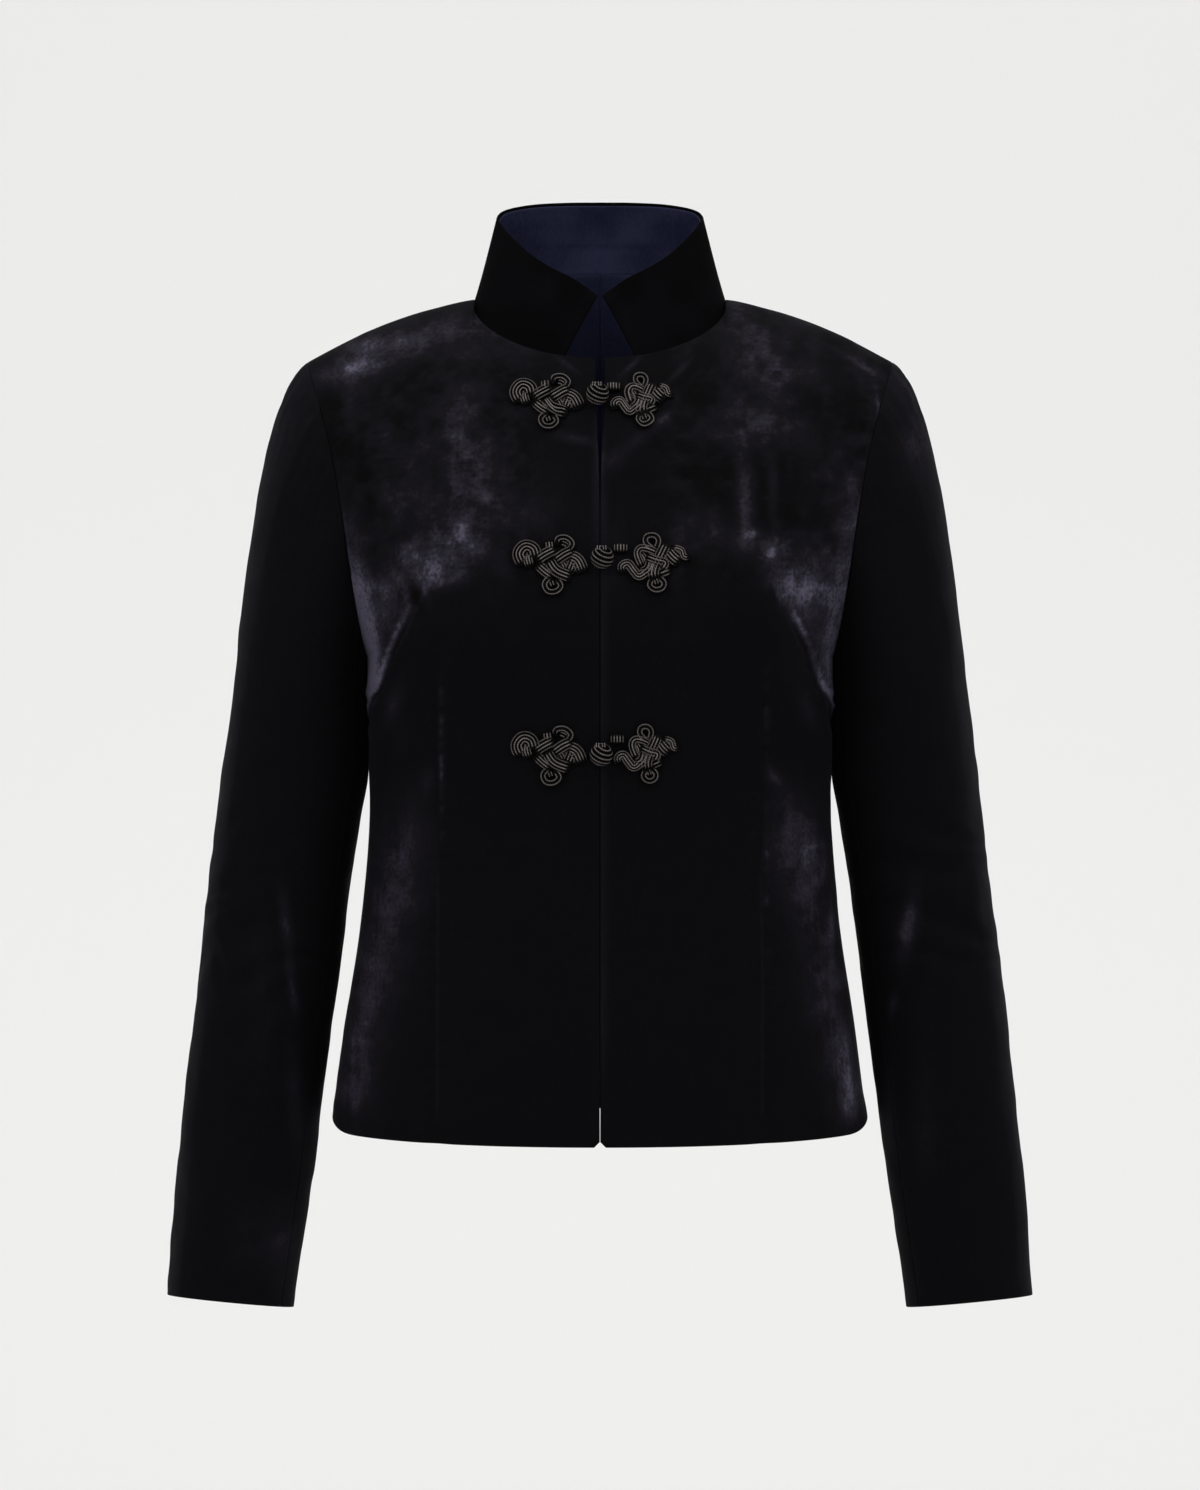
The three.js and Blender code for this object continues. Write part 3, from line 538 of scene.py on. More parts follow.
class Nodes:
    """Short hand for placing and linking nodes in one tree."""

    def __init__(self, tree: bpy.types.NodeTree) -> None:
        """Keeps the tree and empties it."""
        self.tree = tree
        tree.nodes.clear()

    def add(self, kind: str, settings: dict | None = None, **inputs: object) -> bpy.types.Node:
        """Adds a node. Inputs are values, or output sockets to link.

        Args:
            kind: the node's type.
            settings: its own properties, by name.
            inputs: by the socket's name with _ for a space, or i and its number.
        Returns:
            The node.
        """
        node = self.tree.nodes.new(kind)
        for key, value in (settings or {}).items():
            setattr(node, key, value)
        for key, value in inputs.items():
            socket = node.inputs[int(key[1:])] if key[0] == "i" and key[1:].isdigit() else None
            socket = socket or node.inputs[key.replace("_", " ")]
            if isinstance(value, bpy.types.NodeSocket):
                self.tree.links.new(value, socket)
            else:
                socket.default_value = value
        return node

    def math(self, operation: str, *values: object) -> bpy.types.NodeSocket:
        """A Math node's result."""
        named = {f"i{k}": value for k, value in enumerate(values)}
        return self.add("ShaderNodeMath", {"operation": operation}, **named).outputs[0]

    def noise(
        self, place: bpy.types.NodeSocket, scale: object, detail: float, roughness: float = 0.5
    ) -> bpy.types.NodeSocket:
        """A noise texture's value."""
        inputs = {"Vector": place, "Scale": scale, "Detail": detail, "Roughness": roughness}
        return self.add("ShaderNodeTexNoise", **inputs).outputs["Fac"]

    def stretched(
        self, place: bpy.types.NodeSocket, scale: tuple[float, float, float]
    ) -> bpy.types.NodeSocket:
        """A place with its three coordinates scaled."""
        return self.add("ShaderNodeMapping", Vector=place, Scale=scale).outputs[0]

    def attribute(self, name: str) -> bpy.types.NodeSocket:
        """A piece's own value at each point."""
        return self.add("ShaderNodeAttribute", {"attribute_name": name}).outputs["Fac"]

    def finish(self, bump: bpy.types.Node | None = None, **inputs: object) -> None:
        """Adds the surface shader with its inputs, a bump for its normal, and the material's output.

        Args:
            bump: a bump node, or nothing.
            inputs: as for add.
        """
        shader = self.add("ShaderNodeBsdfPrincipled", **inputs)
        if bump is not None:
            self.tree.links.new(bump.outputs[0], shader.inputs["Normal"])
        self.add("ShaderNodeOutputMaterial", Surface=shader.outputs[0])

    def ramp(self, fac: bpy.types.NodeSocket, stops: tuple) -> bpy.types.NodeSocket:
        """A colour ramp with (place, colour) stops.

        Args:
            fac: the value that picks the colour.
            stops: places from 0 to 1 with colours.
        Returns:
            The colour.
        """
        node = self.add("ShaderNodeValToRGB", Fac=fac)
        while len(node.color_ramp.elements) < len(stops):
            node.color_ramp.elements.new(0.5)
        for element, (place, colour) in zip(node.color_ramp.elements, stops):
            element.position = place
            element.color = (*colour, 1)
        return node.outputs["Color"]


def blank_material(name: str) -> tuple[bpy.types.Material, Nodes]:
    """A new material and its emptied tree.

    Args:
        name: the material's name.
    Returns:
        The material, and a helper on its tree.
    """
    mat = bpy.data.materials.new(name)
    mat.use_nodes = True
    return mat, Nodes(mat.node_tree)


def pile_group() -> bpy.types.NodeTree:
    """Velvet pile: large and small crushed patches, faint woven rows, and the height of the pile.

    Returns:
        The group, which puts out two masks.
    """
    tree = bpy.data.node_groups.new("velvet_pile", "ShaderNodeTree")
    face = tree.interface
    face.new_socket("Patch scale", in_out="INPUT", socket_type="NodeSocketFloat")
    face.new_socket("Row depth", in_out="INPUT", socket_type="NodeSocketFloat")
    face.new_socket("Mottle", in_out="OUTPUT", socket_type="NodeSocketFloat")
    face.new_socket("Height", in_out="OUTPUT", socket_type="NodeSocketFloat")
    n = Nodes(tree)
    given = n.add("NodeGroupInput")
    place = n.add("ShaderNodeTexCoord").outputs["Object"]
    large = n.noise(place, given.outputs[0], 6.0, 0.62)
    fine = n.noise(n.stretched(place, (1.6, 1.6, 0.55)), 160.0, 5.0, 0.7)
    row = n.noise(n.stretched(place, (25.0, 25.0, 420.0)), 1.0, 2.0)
    speck = n.noise(place, 420.0, 2.0, 0.6)
    coarse = n.math("MULTIPLY_ADD", large, 0.3, n.math("MULTIPLY", fine, 0.25))
    mixed = n.math("MULTIPLY_ADD", speck, 0.45, coarse)
    woven = n.math("MULTIPLY", row, given.outputs[1])
    mottle = n.math("ADD", mixed, woven)
    grain = n.noise(place, 2600.0, 2.0)
    height = n.math("MULTIPLY_ADD", grain, 0.5, n.math("MULTIPLY", fine, 0.5))
    out = n.add("NodeGroupOutput")
    tree.links.new(mottle, out.inputs["Mottle"])
    tree.links.new(height, out.inputs["Height"])
    return tree


@dataclass(frozen=True)
class VelvetFinish:
    """Near-black velvet with painted silvery purple sheen in its base colour, mottled by the pile."""

    name: str
    patch_scale: float = 75.0
    row_depth: float = 0.1
    contrast: float = 2.6
    dark: tuple[float, float, float] = (0.0012, 0.0012, 0.0014)
    middle: tuple[float, float, float] = (0.0046, 0.0040, 0.0058)
    half_sheen: tuple[float, float, float] = (0.0165, 0.0148, 0.0215)
    bright: tuple[float, float, float] = (0.062, 0.057, 0.082)
    sheen: float = 0.015
    gloss: float = 0.03

    def material(self, pile: bpy.types.NodeTree) -> bpy.types.Material:
        """Builds the material, its base colour painted with sheen from the piece's values of painted sheen
        and mottled pile.

        Args:
            pile: the group of pile_group.
        Returns:
            The material.
        """
        mat, n = blank_material(self.name)
        group = n.add(
            "ShaderNodeGroup", {"node_tree": pile}, Patch_scale=self.patch_scale, Row_depth=self.row_depth
        )
        sheen_and_nap = n.attribute("sheen_and_nap")
        offset = n.math("SUBTRACT", group.outputs["Mottle"], 0.53)
        lift = n.math("MULTIPLY_ADD", offset, self.contrast, 1.0)
        shade = n.math("MULTIPLY", sheen_and_nap, lift)
        stops = ((0.0, self.dark), (0.3, self.middle), (0.6, self.half_sheen), (1.0, self.bright))
        colour = n.ramp(shade, stops)
        rough = n.math("MULTIPLY_ADD", shade, -0.25, 0.85)
        bump = n.add("ShaderNodeBump", Strength=0.5, Distance=0.0006, Height=group.outputs["Height"])
        n.finish(
            bump, Base_Color=colour, Roughness=rough, Specular_IOR_Level=self.gloss,
            Sheen_Weight=self.sheen, Sheen_Roughness=0.35, Sheen_Tint=(0.75, 0.7, 0.85, 1),
        )
        return mat


@dataclass(frozen=True)
class SatinFinish:
    """Navy satin with fine warp lines, a soft gloss, and painted gloss and shade from a value at each point.
    """

    name: str
    colour: tuple[float, float, float] = (0.0062, 0.0067, 0.017)
    # Colour where the painted gloss is strongest.
    light: tuple[float, float, float] = (0.029, 0.031, 0.066)
    roughness: float = 0.5

    def material(self) -> bpy.types.Material:
        """Builds the material.

        Returns:
            The material.
        """
        mat, n = blank_material(self.name)
        place = n.add("ShaderNodeTexCoord").outputs["Object"]
        lines = n.noise(n.stretched(place, (900.0, 900.0, 12.0)), 1.0, 3.0)
        cloud = n.noise(place, 45.0, 3.0)
        fibre = n.math("MULTIPLY_ADD", lines, 0.3, n.math("MULTIPLY", cloud, 0.3))
        # Painted gloss from the piece's values.
        tone = n.math("MULTIPLY_ADD", n.attribute("light"), 0.4, fibre)
        colour = n.ramp(tone, ((0.22, self.colour), (0.75, self.light)))
        rough = n.math("MULTIPLY_ADD", lines, 0.15, self.roughness - 0.07)
        bump = n.add("ShaderNodeBump", Strength=0.25, Distance=0.0002, Height=lines)
        n.finish(
            bump, Base_Color=colour, Roughness=rough, Specular_IOR_Level=0.1,
            Specular_Tint=(0.4, 0.45, 0.9, 1),
        )
        return mat


@dataclass(frozen=True)
class CordFinish:
    """Twisted black thread: near black in the grooves, with a painted dull bronze highlight on its crowns.
    """

    name: str
    low: tuple[float, float, float] = (0.0009, 0.0008, 0.0009)
    # Colour of the painted highlight on the crowns.
    high: tuple[float, float, float] = (0.228, 0.203, 0.194)
    pitch: float = 1.5

    def material(self) -> bpy.types.Material:
        """Builds the material from the thread's crown (0 to 1 round it) and its length along, in mm.

        Returns:
            The material.
        """
        mat, n = blank_material(self.name)
        crown = n.attribute("crown")
        slant = n.math("MULTIPLY_ADD", crown, 0.8, n.math("DIVIDE", n.attribute("along"), self.pitch))
        wave = n.math("SINE", n.math("MULTIPLY", slant, 2 * math.pi))
        strand = n.math("MULTIPLY_ADD", wave, 0.5, 0.5)
        place = n.add("ShaderNodeTexCoord").outputs["Object"]
        # Noise that breaks up the painted highlight.
        sheen_mottle = n.noise(place, 300.0, 4.0)
        lit = n.math("POWER", crown, 12.0)
        broken = n.math("MULTIPLY_ADD", strand, 0.35, n.math("MULTIPLY", sheen_mottle, 0.9))
        colour = n.ramp(n.math("MULTIPLY", lit, broken), ((0.02, self.low), (0.85, self.high)))
        bump = n.add("ShaderNodeBump", Strength=0.6, Distance=0.0002, Height=strand)
        n.finish(bump, Base_Color=colour, Roughness=0.5, Specular_IOR_Level=0.04)
        return mat


@dataclass(frozen=True)
class Patch:
    """A soft oval on a panel: its middle, half sizes, turn in degrees and strength."""

    x: float
    z: float
    wide: float
    tall: float
    turn: float
    strength: float


def patches(rows: tuple[Patch, ...], x: Array, z: Array) -> Array:
    """Sum of the rows' bells, each turned and stretched as its row says.

    Args:
        rows: the patches.
        x: distances from the middle, in millimetres.
        z: heights, in millimetres.
    Returns:
        The sum at each point.
    """
    total = np.zeros(np.broadcast(x, z).shape)
    for row in rows:
        c, s = math.cos(math.radians(row.turn)), math.sin(math.radians(row.turn))
        across = ((x - row.x) * c + (z - row.z) * s) / row.wide
        up = ((z - row.z) * c - (x - row.x) * s) / row.tall
        total = total + row.strength * np.exp(-(across * across + up * up))
    return total


# Where the scene's waist darts run, in front and behind.
DART_X = 102.2
# Patches of painted sheen, and a few of painted shade, on the fronts, as seen from in front. x is taken away
# from the middle of the front.
SHEEN_FRONT = {
    Side.RIGHT: (
        Patch(128, -31, 48.0, 12.8, -17, 0.42),
        Patch(84, -25, 24.3, 16.6, 0, 0.34),
        Patch(164, -52, 28.8, 8.3, -12, 0.36),
        Patch(109, -52, 38.4, 6.4, 0, -0.12),
        Patch(87, -119, 12.5, 38.9, 0, 0.52),
        Patch(90, -166, 13.8, 15.0, 20, 0.5),
        Patch(126, -137, 28.2, 28.2, 0, 0.13),
        Patch(148, -131, 13.8, 15.7, 0, -0.1),
        Patch(110, -181, 26.3, 11, 25, 0.32),
        Patch(132, -200, 18.8, 26.3, 12, 0.5),
        Patch(54, -137, 26.3, 28.2, 0, 0.12),
        Patch(41, -147, 15.0, 11.3, 0, 0.2),
        Patch(128, -363, 20, 36, 10, 0.4),
        Patch(141, -426, 18, 40, 12, 0.44),
        Patch(155, -488, 16, 38, 8, 0.46),
        Patch(159, -517, 13, 12.5, 0, 0.22),
        Patch(109, -315, 4.4, 8.8, 20, 0.36),
        Patch(127, -285, 5.0, 11.3, 10, 0.22),
        Patch(25, -72, 6.3, 18.8, 0, 0.1),
    ),
    Side.LEFT: (
        Patch(102, -27, 39.7, 12.8, -17, 0.2),
        Patch(92, -35, 28.8, 20.5, 0, 0.12),
        Patch(128, -54, 32.0, 12.8, 0, 0.2),
        Patch(100, -92, 36.4, 12.5, 0, 0.34),
        Patch(91, -134, 5.6, 28.8, 0, 0.5),
        Patch(109, -131, 3.1, 22.6, 0, 0.34),
        Patch(134, -119, 13.8, 25.1, 0, 0.12),
        Patch(62, -155, 16.3, 13.8, 0, 0.34),
        Patch(103, -164, 26.3, 8.8, 0, 0.36),
        Patch(96, -159, 5.6, 2.5, 0, 0.42),
        Patch(107, -171, 2.5, 2.5, 0, 0.55),
        Patch(125, -191, 18.8, 12.5, 0, 0.42),
        Patch(130, -209, 16.3, 21.3, 0, 0.36),
        Patch(109, -310, 8.8, 3.8, -50, 0.5),
        Patch(126, -352, 22.0, 34, 14, 0.42),
        Patch(134, -384, 15.0, 31.4, 10, 0.4),
        Patch(145, -441, 16, 36, 10, 0.44),
        Patch(157, -495, 14, 32, 8, 0.46),
        Patch(160, -519, 10, 13.8, 0, 0.34),
        Patch(160, -507, 2.5, 16.3, 8, 0.3),
        Patch(148, -407, 3.1, 17.6, 0, 0.42),
        Patch(9, -175, 5.6, 18.8, 0, 0.16),
    ),
}
# Smooth painted highlights on the fronts, and painted shade in the dimple at the bust dart's tip, which the
# mottling doesn't break up.
GLEAM_FRONT = {
    Side.RIGHT: (
        Patch(16, -98, 15, 3, 14, 0.26),
        Patch(1.5, -128, 2.2, 44, 0, 0.3),
        Patch(20.8, -49.7, 8.3, 1.6, 40, 0.3),
        Patch(116.0, -197, 3.2, 7.0, -14, -0.7),
        Patch(109.5, -195, 1.6, 7.0, -20, 0.3),
        Patch(131, -266, 5.0, 13, 20, 0.26),
    ),
    Side.LEFT: (
        Patch(167, -45, 22, 2.4, -30, 0.3),
        Patch(20.2, -49.7, 8.3, 1.7, 45, 0.34),
        Patch(50.2, -53.6, 9.6, 2.0, 48, 0.3),
        Patch(26, -97, 20, 4.0, 38, 0.2),
        Patch(8, -112, 7, 6, 30, 0.2),
        Patch(41, -84, 7, 3, 42, 0.26),
        Patch(179, -78, 1.4, 16, 6, 0.4),
        Patch(132, -268, 5.0, 12, 20, 0.2),
        Patch(137, -214, 17, 40, 0, 0.12),
        Patch(118, -176, 30, 14, 0, 0.12),
    ),
}
# Smooth gleam along the armhole: height, and how strong it is there on the right and the left front.
ARMHOLE_GLEAM = (
    (-290, 0.0, 0.0), (-272, 0.75, 0.45), (-240, 1.15, 0.62), (-205, 0.95, 0.4), (-170, 0.4, 0.35),
    (-130, 0.1, 0.25), (-100, 0.0, 0.0),
)
# Below this line on the fronts, as (x, z), painted shade lies under the bust.
BUST_SHADE_LINE = (
    (7, -201), (50, -182), (72, -173), (82, -184), (100, -186.5), (108.5, -190), (111.6, -201),
    (116.3, -208), (121, -219), (128.8, -233), (138.5, -250), (148, -272), (152, -284),
)
# Patches of painted highlight on the sleeves' front halves, by the forearm's folds; x and z as seen from in
# front.
SHEEN_SLEEVE = {
    Side.RIGHT: (
        Patch(201, -402, 3.2, 17.8, -7, 0.32),
        Patch(197, -444, 2.5, 16.6, -8, 0.36),
        Patch(195, -517, 5.1, 38.2, -3, 0.2),
        Patch(204, -616, 8.9, 28.0, 0, 0.3),
        Patch(223, -606, 11.5, 25.5, 0, 0.08),
        Patch(216, -453, 8.9, 44.6, 0, 0.06),
    ),
    Side.LEFT: (
        Patch(197, -406, 5.1, 20.4, -10, 0.36),
        Patch(188, -457, 2.5, 7.6, -10, 0.34),
        Patch(186, -524, 3.8, 38.2, 0, 0.16),
        Patch(184, -613, 5.7, 26.8, 0, 0.24),
        Patch(207, -530, 7.6, 38.2, 0, 0.08),
        Patch(200, -103, 10.2, 21.7, 0, 0.14),
    ),
}
# Patches of painted sheen on the back: high on the shoulders, down the middle and the sides, and lower down.
SHEEN_BACK = (
    Patch(70, -60, 60, 34, 0, 0.5),
    Patch(-78, -70, 52, 40, 0, 0.5),
    Patch(0, -150, 26, 60, 0, 0.25),
    Patch(120, -300, 18, 80, 0, 0.4),
    Patch(-120, -320, 20, 90, 0, 0.45),
    Patch(60, -450, 30, 70, 8, 0.3),
    Patch(-55, -470, 34, 60, -8, 0.3),
    Patch(148, -200, 14, 50, 0, 0.7),
    Patch(-148, -200, 14, 50, 0, 0.7),
)


@dataclass
class DartLine:
    """A sewn dart: a route from the seam to the tip in the (x, z) plane."""

    route: tuple[tuple[float, float], ...]

    def measure(self, x: Array, z: Array) -> tuple[Array, Array]:
        """Signed distance from the route, positive above it, and length along it, in millimetres.

        Args:
            x: distances from the middle, in millimetres.
            z: heights, in millimetres.
        Returns:
            The distances and the lengths.
        """
        best = np.full(np.broadcast(x, z).shape, 1e9)
        side = np.zeros_like(best)
        along = np.zeros_like(best)
        run = 0.0
        for (x0, z0), (x1, z1) in zip(self.route[:-1], self.route[1:]):
            span = math.hypot(x1 - x0, z1 - z0)
            ux, uz = (x1 - x0) / span, (z1 - z0) / span
            t = np.clip((x - x0) * ux + (z - z0) * uz, 0, span)
            dx, dz = x - x0 - ux * t, z - z0 - uz * t
            gap = np.hypot(dx, dz)
            nearer = gap < best
            best = np.where(nearer, gap, best)
            side = np.where(nearer, np.sign(uz * (x - x0) - ux * (z - z0)), side)
            along = np.where(nearer, run + t, along)
            run += span
        return best * side, along

    def length(self) -> float:
        """Length of the route."""
        return sum(math.dist(a, b) for a, b in zip(self.route[:-1], self.route[1:]))


@dataclass(frozen=True)
class Ridge:
    """A ridge beside a line, or a groove where it is negative: height, place and half width."""

    high: float
    place: float
    wide: float


BUST_RIDGES = (Ridge(-1.5, 0, 1.5), Ridge(1.5, 6.5, 5), Ridge(0.5, -6, 6))


@dataclass(frozen=True)
class SeamAndEdgeLight:
    """Painted light and shade along the waist dart and on the edge of one front.

    The painted shade in the waist dart's seam ends dart_end under the origin. A row of painted highlights on
    the puckers runs to the inner side of the seam, at the place and with the strength of the next two
    fields. The front's edge has a painted highlight of strength edge.
    """

    dart_end: float
    pucker_gleam_place: float
    pucker_gleam: float
    edge: float


SEAM_AND_EDGE_LIGHT = {Side.RIGHT: SeamAndEdgeLight(360, 2.6, 0.5, 0.06), Side.LEFT: SeamAndEdgeLight(440, -2.6, 0.3, 0.9)}


@dataclass
class Fronts:
    """The two velvet fronts, with French bust darts, waist darts and the drag of the cloth."""

    rows: int = 240
    cols: int = 108
    thickness: float = 1.9
    bust_dart: DartLine = field(
        default_factory=lambda: DartLine(
            ((150, -276), (144.5, -262), (135.5, -243.5), (128, -228), (119.6, -213), (111.5, -198))
        )
    )
    waist_dart_top: float = -232
    closing: float = 0.42

    def row_levels(self, count: int) -> Array:
        """Levels for evenly spaced rows: most length lies below the underarm and over the yoke."""
        lengths = np.array([0, 65, 130, 195, 251, 304, 320, 339, 366, 395, 425, 545.0])
        return np.interp(np.linspace(0, lengths[-1], count), lengths, np.arange(len(lengths)))

    def relief(self, side: Side, grid: Array) -> Array:
        """Height of darts, puckers and folds over the plain form, in millimetres.

        The bust dart is a groove with a wide ridge above it and a low one below, both waved by puckers. The
        waist dart is a finer groove. The chest and the skirt rise and fall unevenly, a fold hangs at the
        side of the hip, and creases lie where the tables put them.

        Args:
            side: the wearer's side.
            grid: outer points, rows by columns by coordinates, in millimetres.
        Returns:
            A height for each point.
        """
        x, z = grid[..., 0], grid[..., 2]
        seed = FRONT_SEED[side]
        gap, along, fade = self.dart_fade(x, z)
        wave = self.pucker(side, along, gap)
        height = fade * sum(row.high * bell((gap - row.place) / row.wide) for row in BUST_RIDGES)
        height = height + fade * 0.65 * wave * bell(gap / 7) * (1 - bell(gap / 1.4))
        off = x - DART_X
        fade = ease((self.waist_dart_top - z) / 40) * (1 - 0.35 * ease((-z - 500) / 40))
        wave = self.waist_pucker(side, z)
        height = height + fade * (-0.8 * bell(off / 1.2) + 0.28 * wave * bell((np.abs(off) - 4) / 4))
        chest = ease((z + 215) / 60) * ease((x - 4) / 14)
        height = height + chest * (
            1.15 * unevenness(x * 1.5, z, 34, seed + 2) + 0.45 * unevenness(x * 1.2, z, 13, seed + 3)
        )
        skirt = ease((-z - 250) / 60) * ease((x - 6) / 20)
        height = height + skirt * (
            0.8 * unevenness(x * 2.4, z * 0.55, 40, seed + 4) + 0.22 * unevenness(x, z, 11, seed + 5)
        )
        side_fold = x - (143 + (-z - 405) * 0.09)
        height = height - 1.3 * ease((-z - 385) / 30) * bell(side_fold / 2.2) * (grid[..., 1] < -20)
        height = height + patches(CREASES[side], x, z)
        return height

    def sheen_and_nap(self, side: Side, grid: Array) -> Array:
        """Painted sheen with mottled pile: how bright each point of the velvet is.

        Listed patches of painted sheen, and a little painted shade, are broken up unevenly, most along the
        cloth, and give way to painted shade below the bust's lower line. A painted highlight lies on the
        ridge above the bust dart and painted shade in its seam; the waist dart has painted shade in its seam
        and painted highlights on its puckers, and the front edge a painted highlight.

        Args:
            side: the wearer's side.
            grid: outer points, rows by columns by coordinates, in millimetres.
        Returns:
            A value for each point, from 0 for no painted sheen upwards.
        """
        x, z = grid[..., 0], grid[..., 2]
        seed = FRONT_NAP_SEED[side]
        streaks = 0.12 * unevenness(x * 5, z * 0.35, 14, seed + 5) * ease((x - 20) / 30)
        broken = 1 + 0.3 * unevenness(x * 1.4, z, 17, seed) + 0.22 * unevenness(x, z, 6, seed + 1) + streaks
        drag = unevenness((x + z) * 0.25, (z - x) * 1.7, 13, seed + 6)
        drag = drag * bell((x - 104) / 40) * bell((z + 175) / 45)
        broken = broken + 0.35 * drag
        # Painted shade below the bust's lower line.
        line_x, line_z = zip(*BUST_SHADE_LINE)
        edge = np.interp(x, line_x, line_z) + 4 * unevenness(x, z, 14, seed + 2) * ease((130 - x) / 20)
        soft = np.interp(x, (60, 110, 120), (16, 9, 2.5))
        under = ease((edge - z) / soft) * ease((z + 330) / 60)
        # Painted sheen, mottled, over the upper fronts.
        sheen_mottle = 0.03 + 0.15 * unevenness(x, z * 0.35, 22, seed + 7) + 0.11 * unevenness(x, z, 8, seed + 9)
        sheen_mottle = np.clip(sheen_mottle + 0.07 * unevenness(x, z * 2, 4, seed + 10), -0.05, 0.4) * ease((x - 24) / 30)
        base = 0.8 * patches(SHEEN_FRONT[side], x, z) * broken + sheen_mottle * ease((z + 250) / 60)
        base = base * (1 - 0.88 * under)
        inner = ease((DART_X + 1.5 - x) / 3) * ease((-235 - z) / 20) * ease((x - 8) / 6)
        base = base * (1 - 0.8 * inner)
        gleam = patches(GLEAM_FRONT[side], x, z)
        heights, *strengths = zip(*ARMHOLE_GLEAM)
        strong = np.interp(z, heights, strengths[0 if side is Side.RIGHT else 1])
        off_edge = x[:, -1:] - x
        strip = strong * (bell((off_edge - 4) / 9) + 0.3 * bell((off_edge - 1.2) / 1.0))
        base = base * (1 - 0.6 * strong * bell(off_edge / 14)) + gleam
        base = base + strip * (1 - 0.95 * under)
        # Painted highlight on the ridge above the bust dart and painted shade in its seam.
        gap, along, fade = self.dart_fade(x, z)
        ragged = 0.75 + 0.6 * unevenness(along, 0 * along, 17, seed + 8)
        ragged = ragged + 0.15 * self.pucker(side, along, gap)
        ridge_highlight = fade * bell((gap - 3.0) / 1.9) * np.clip(ragged, 0, 1.3)
        base = base * (1 - 0.95 * fade * bell(gap / 1.7)) + 0.6 * ridge_highlight
        # Painted shade in the waist dart's seam, painted highlights on its puckers, a paler line along the
        # seam below, and a painted highlight on the front edge.
        off = x - DART_X
        seam_light = SEAM_AND_EDGE_LIGHT[side]
        seam = ease((-236 - z) / 20) * ease((z + seam_light.dart_end) / 30)
        rough = unevenness(z, 0 * z, 10, seed + 11) + 0.6 * unevenness(z, x * 0.4, 4, seed + 12)
        pucker_gleam = np.clip(0.35 + 0.22 * self.waist_pucker(side, z) + 0.6 * rough, 0, 1)
        base = base * (1 - 0.85 * seam * bell(off / 1.3))
        base = base + seam_light.pucker_gleam * seam * bell((off + seam_light.pucker_gleam_place) / 1.7) * pucker_gleam
        base = base + 0.17 * ease((-350 - z) / 40) * ease((z + 532) / 20) * bell(off / 0.8)
        edge_highlight = bell((x - 1.8) / 1.2) * ease((-85 - z) / 60) * ease((z + 520) / 60)
        base = base + seam_light.edge * edge_highlight
        return np.clip(base + 0.05, 0, 1.2)

    def dart_fade(self, x: Array, z: Array) -> tuple[Array, Array, Array]:
        """Distance from the bust dart, length along it, and how strong it is there.

        Args:
            x: distances from the middle, in millimetres.
            z: heights, in millimetres.
        Returns:
            The three values at each point.
        """
        gap, along = self.bust_dart.measure(x, z)
        gap = gap + 1.5 * unevenness(along, 0 * along, 13, 7)
        total = self.bust_dart.length()
        return gap, along, ease((total - along) / 30) * ease((total + 4 - along) / 4)

    def pucker(self, side: Side, along: Array, gap: Array) -> Array:
        """Uneven wave of the puckers along the bust dart, from -1 to 1."""
        seed = FRONT_SEED[side]
        return np.sin(2 * np.pi * along / 8.2 + 2.2 * unevenness(along, gap * 0.2, 15, seed))

    def waist_pucker(self, side: Side, z: Array) -> Array:
        """Uneven wave of the puckers down the waist dart, from -1 to 1."""
        seed = FRONT_SEED[side] + 1
        return np.sin(2 * np.pi * z / 9.5 + 2.5 * unevenness(z, 0 * z, 21, seed))

    def build(self, side: Side, material: bpy.types.Material) -> Array:
        """Builds one front and returns its outer points.

        Args:
            side: the wearer's side.
            material: what the pieces look like.
        Returns:
            The outer points.
        """
        last = FORM.column_shares(Half.FRONT)[2]
        column = np.linspace(0, last, self.cols)[None, :]
        grid = FORM.surface(Half.FRONT, self.row_levels(self.rows)[:, None], column)
        x = grid[..., 0]
        grid = round_hem(grid, corner(x - x[:, :1], 3.5) + corner((x[:, -1:] - x) * 0.55, 8))
        grid[..., 0] -= self.closing * bell(x / 3) * ease((-90 - grid[..., 2]) / 30)
        height, sheen_and_nap = self.relief(side, grid), self.sheen_and_nap(side, grid)
        edge = ease(from_ends(self.rows) / 6)[:, None] * ease(from_ends(self.cols) / 4)[None, :]
        shell = Shell(grid * np.array([side.value, 1, 1]), self.thickness, side.value)
        shell.raise_by(height * edge)
        shell.values["sheen_and_nap"] = sheen_and_nap
        obj = shell.build(material, "velvet", f"front_{side.name.lower()}")
        return shell.grid


CREASES = {
    Side.LEFT: (
        Patch(30, -88, 2.6, 30, 34, 1.5),
        Patch(44, -84, 3.0, 26, 44, -0.9),
        Patch(17, -64, 2.0, 12, 10, 0.8),
        Patch(142, -262, 2.6, 16, 60, 1.3),
        Patch(138, -246, 2.4, 14, 48, -0.9),
        Patch(150, -300, 3, 26, 10, 0.8),
    ),
    Side.RIGHT: (
        Patch(31, -76, 2.6, 20, -32, -1.0),
        Patch(24, -84, 2.6, 22, -26, 1.0),
        Patch(14, -60, 2.0, 12, -6, 0.7),
        Patch(145, -268, 2.4, 14, 56, 1.0),
        Patch(152, -296, 3, 24, -8, 0.8),
    ),
}


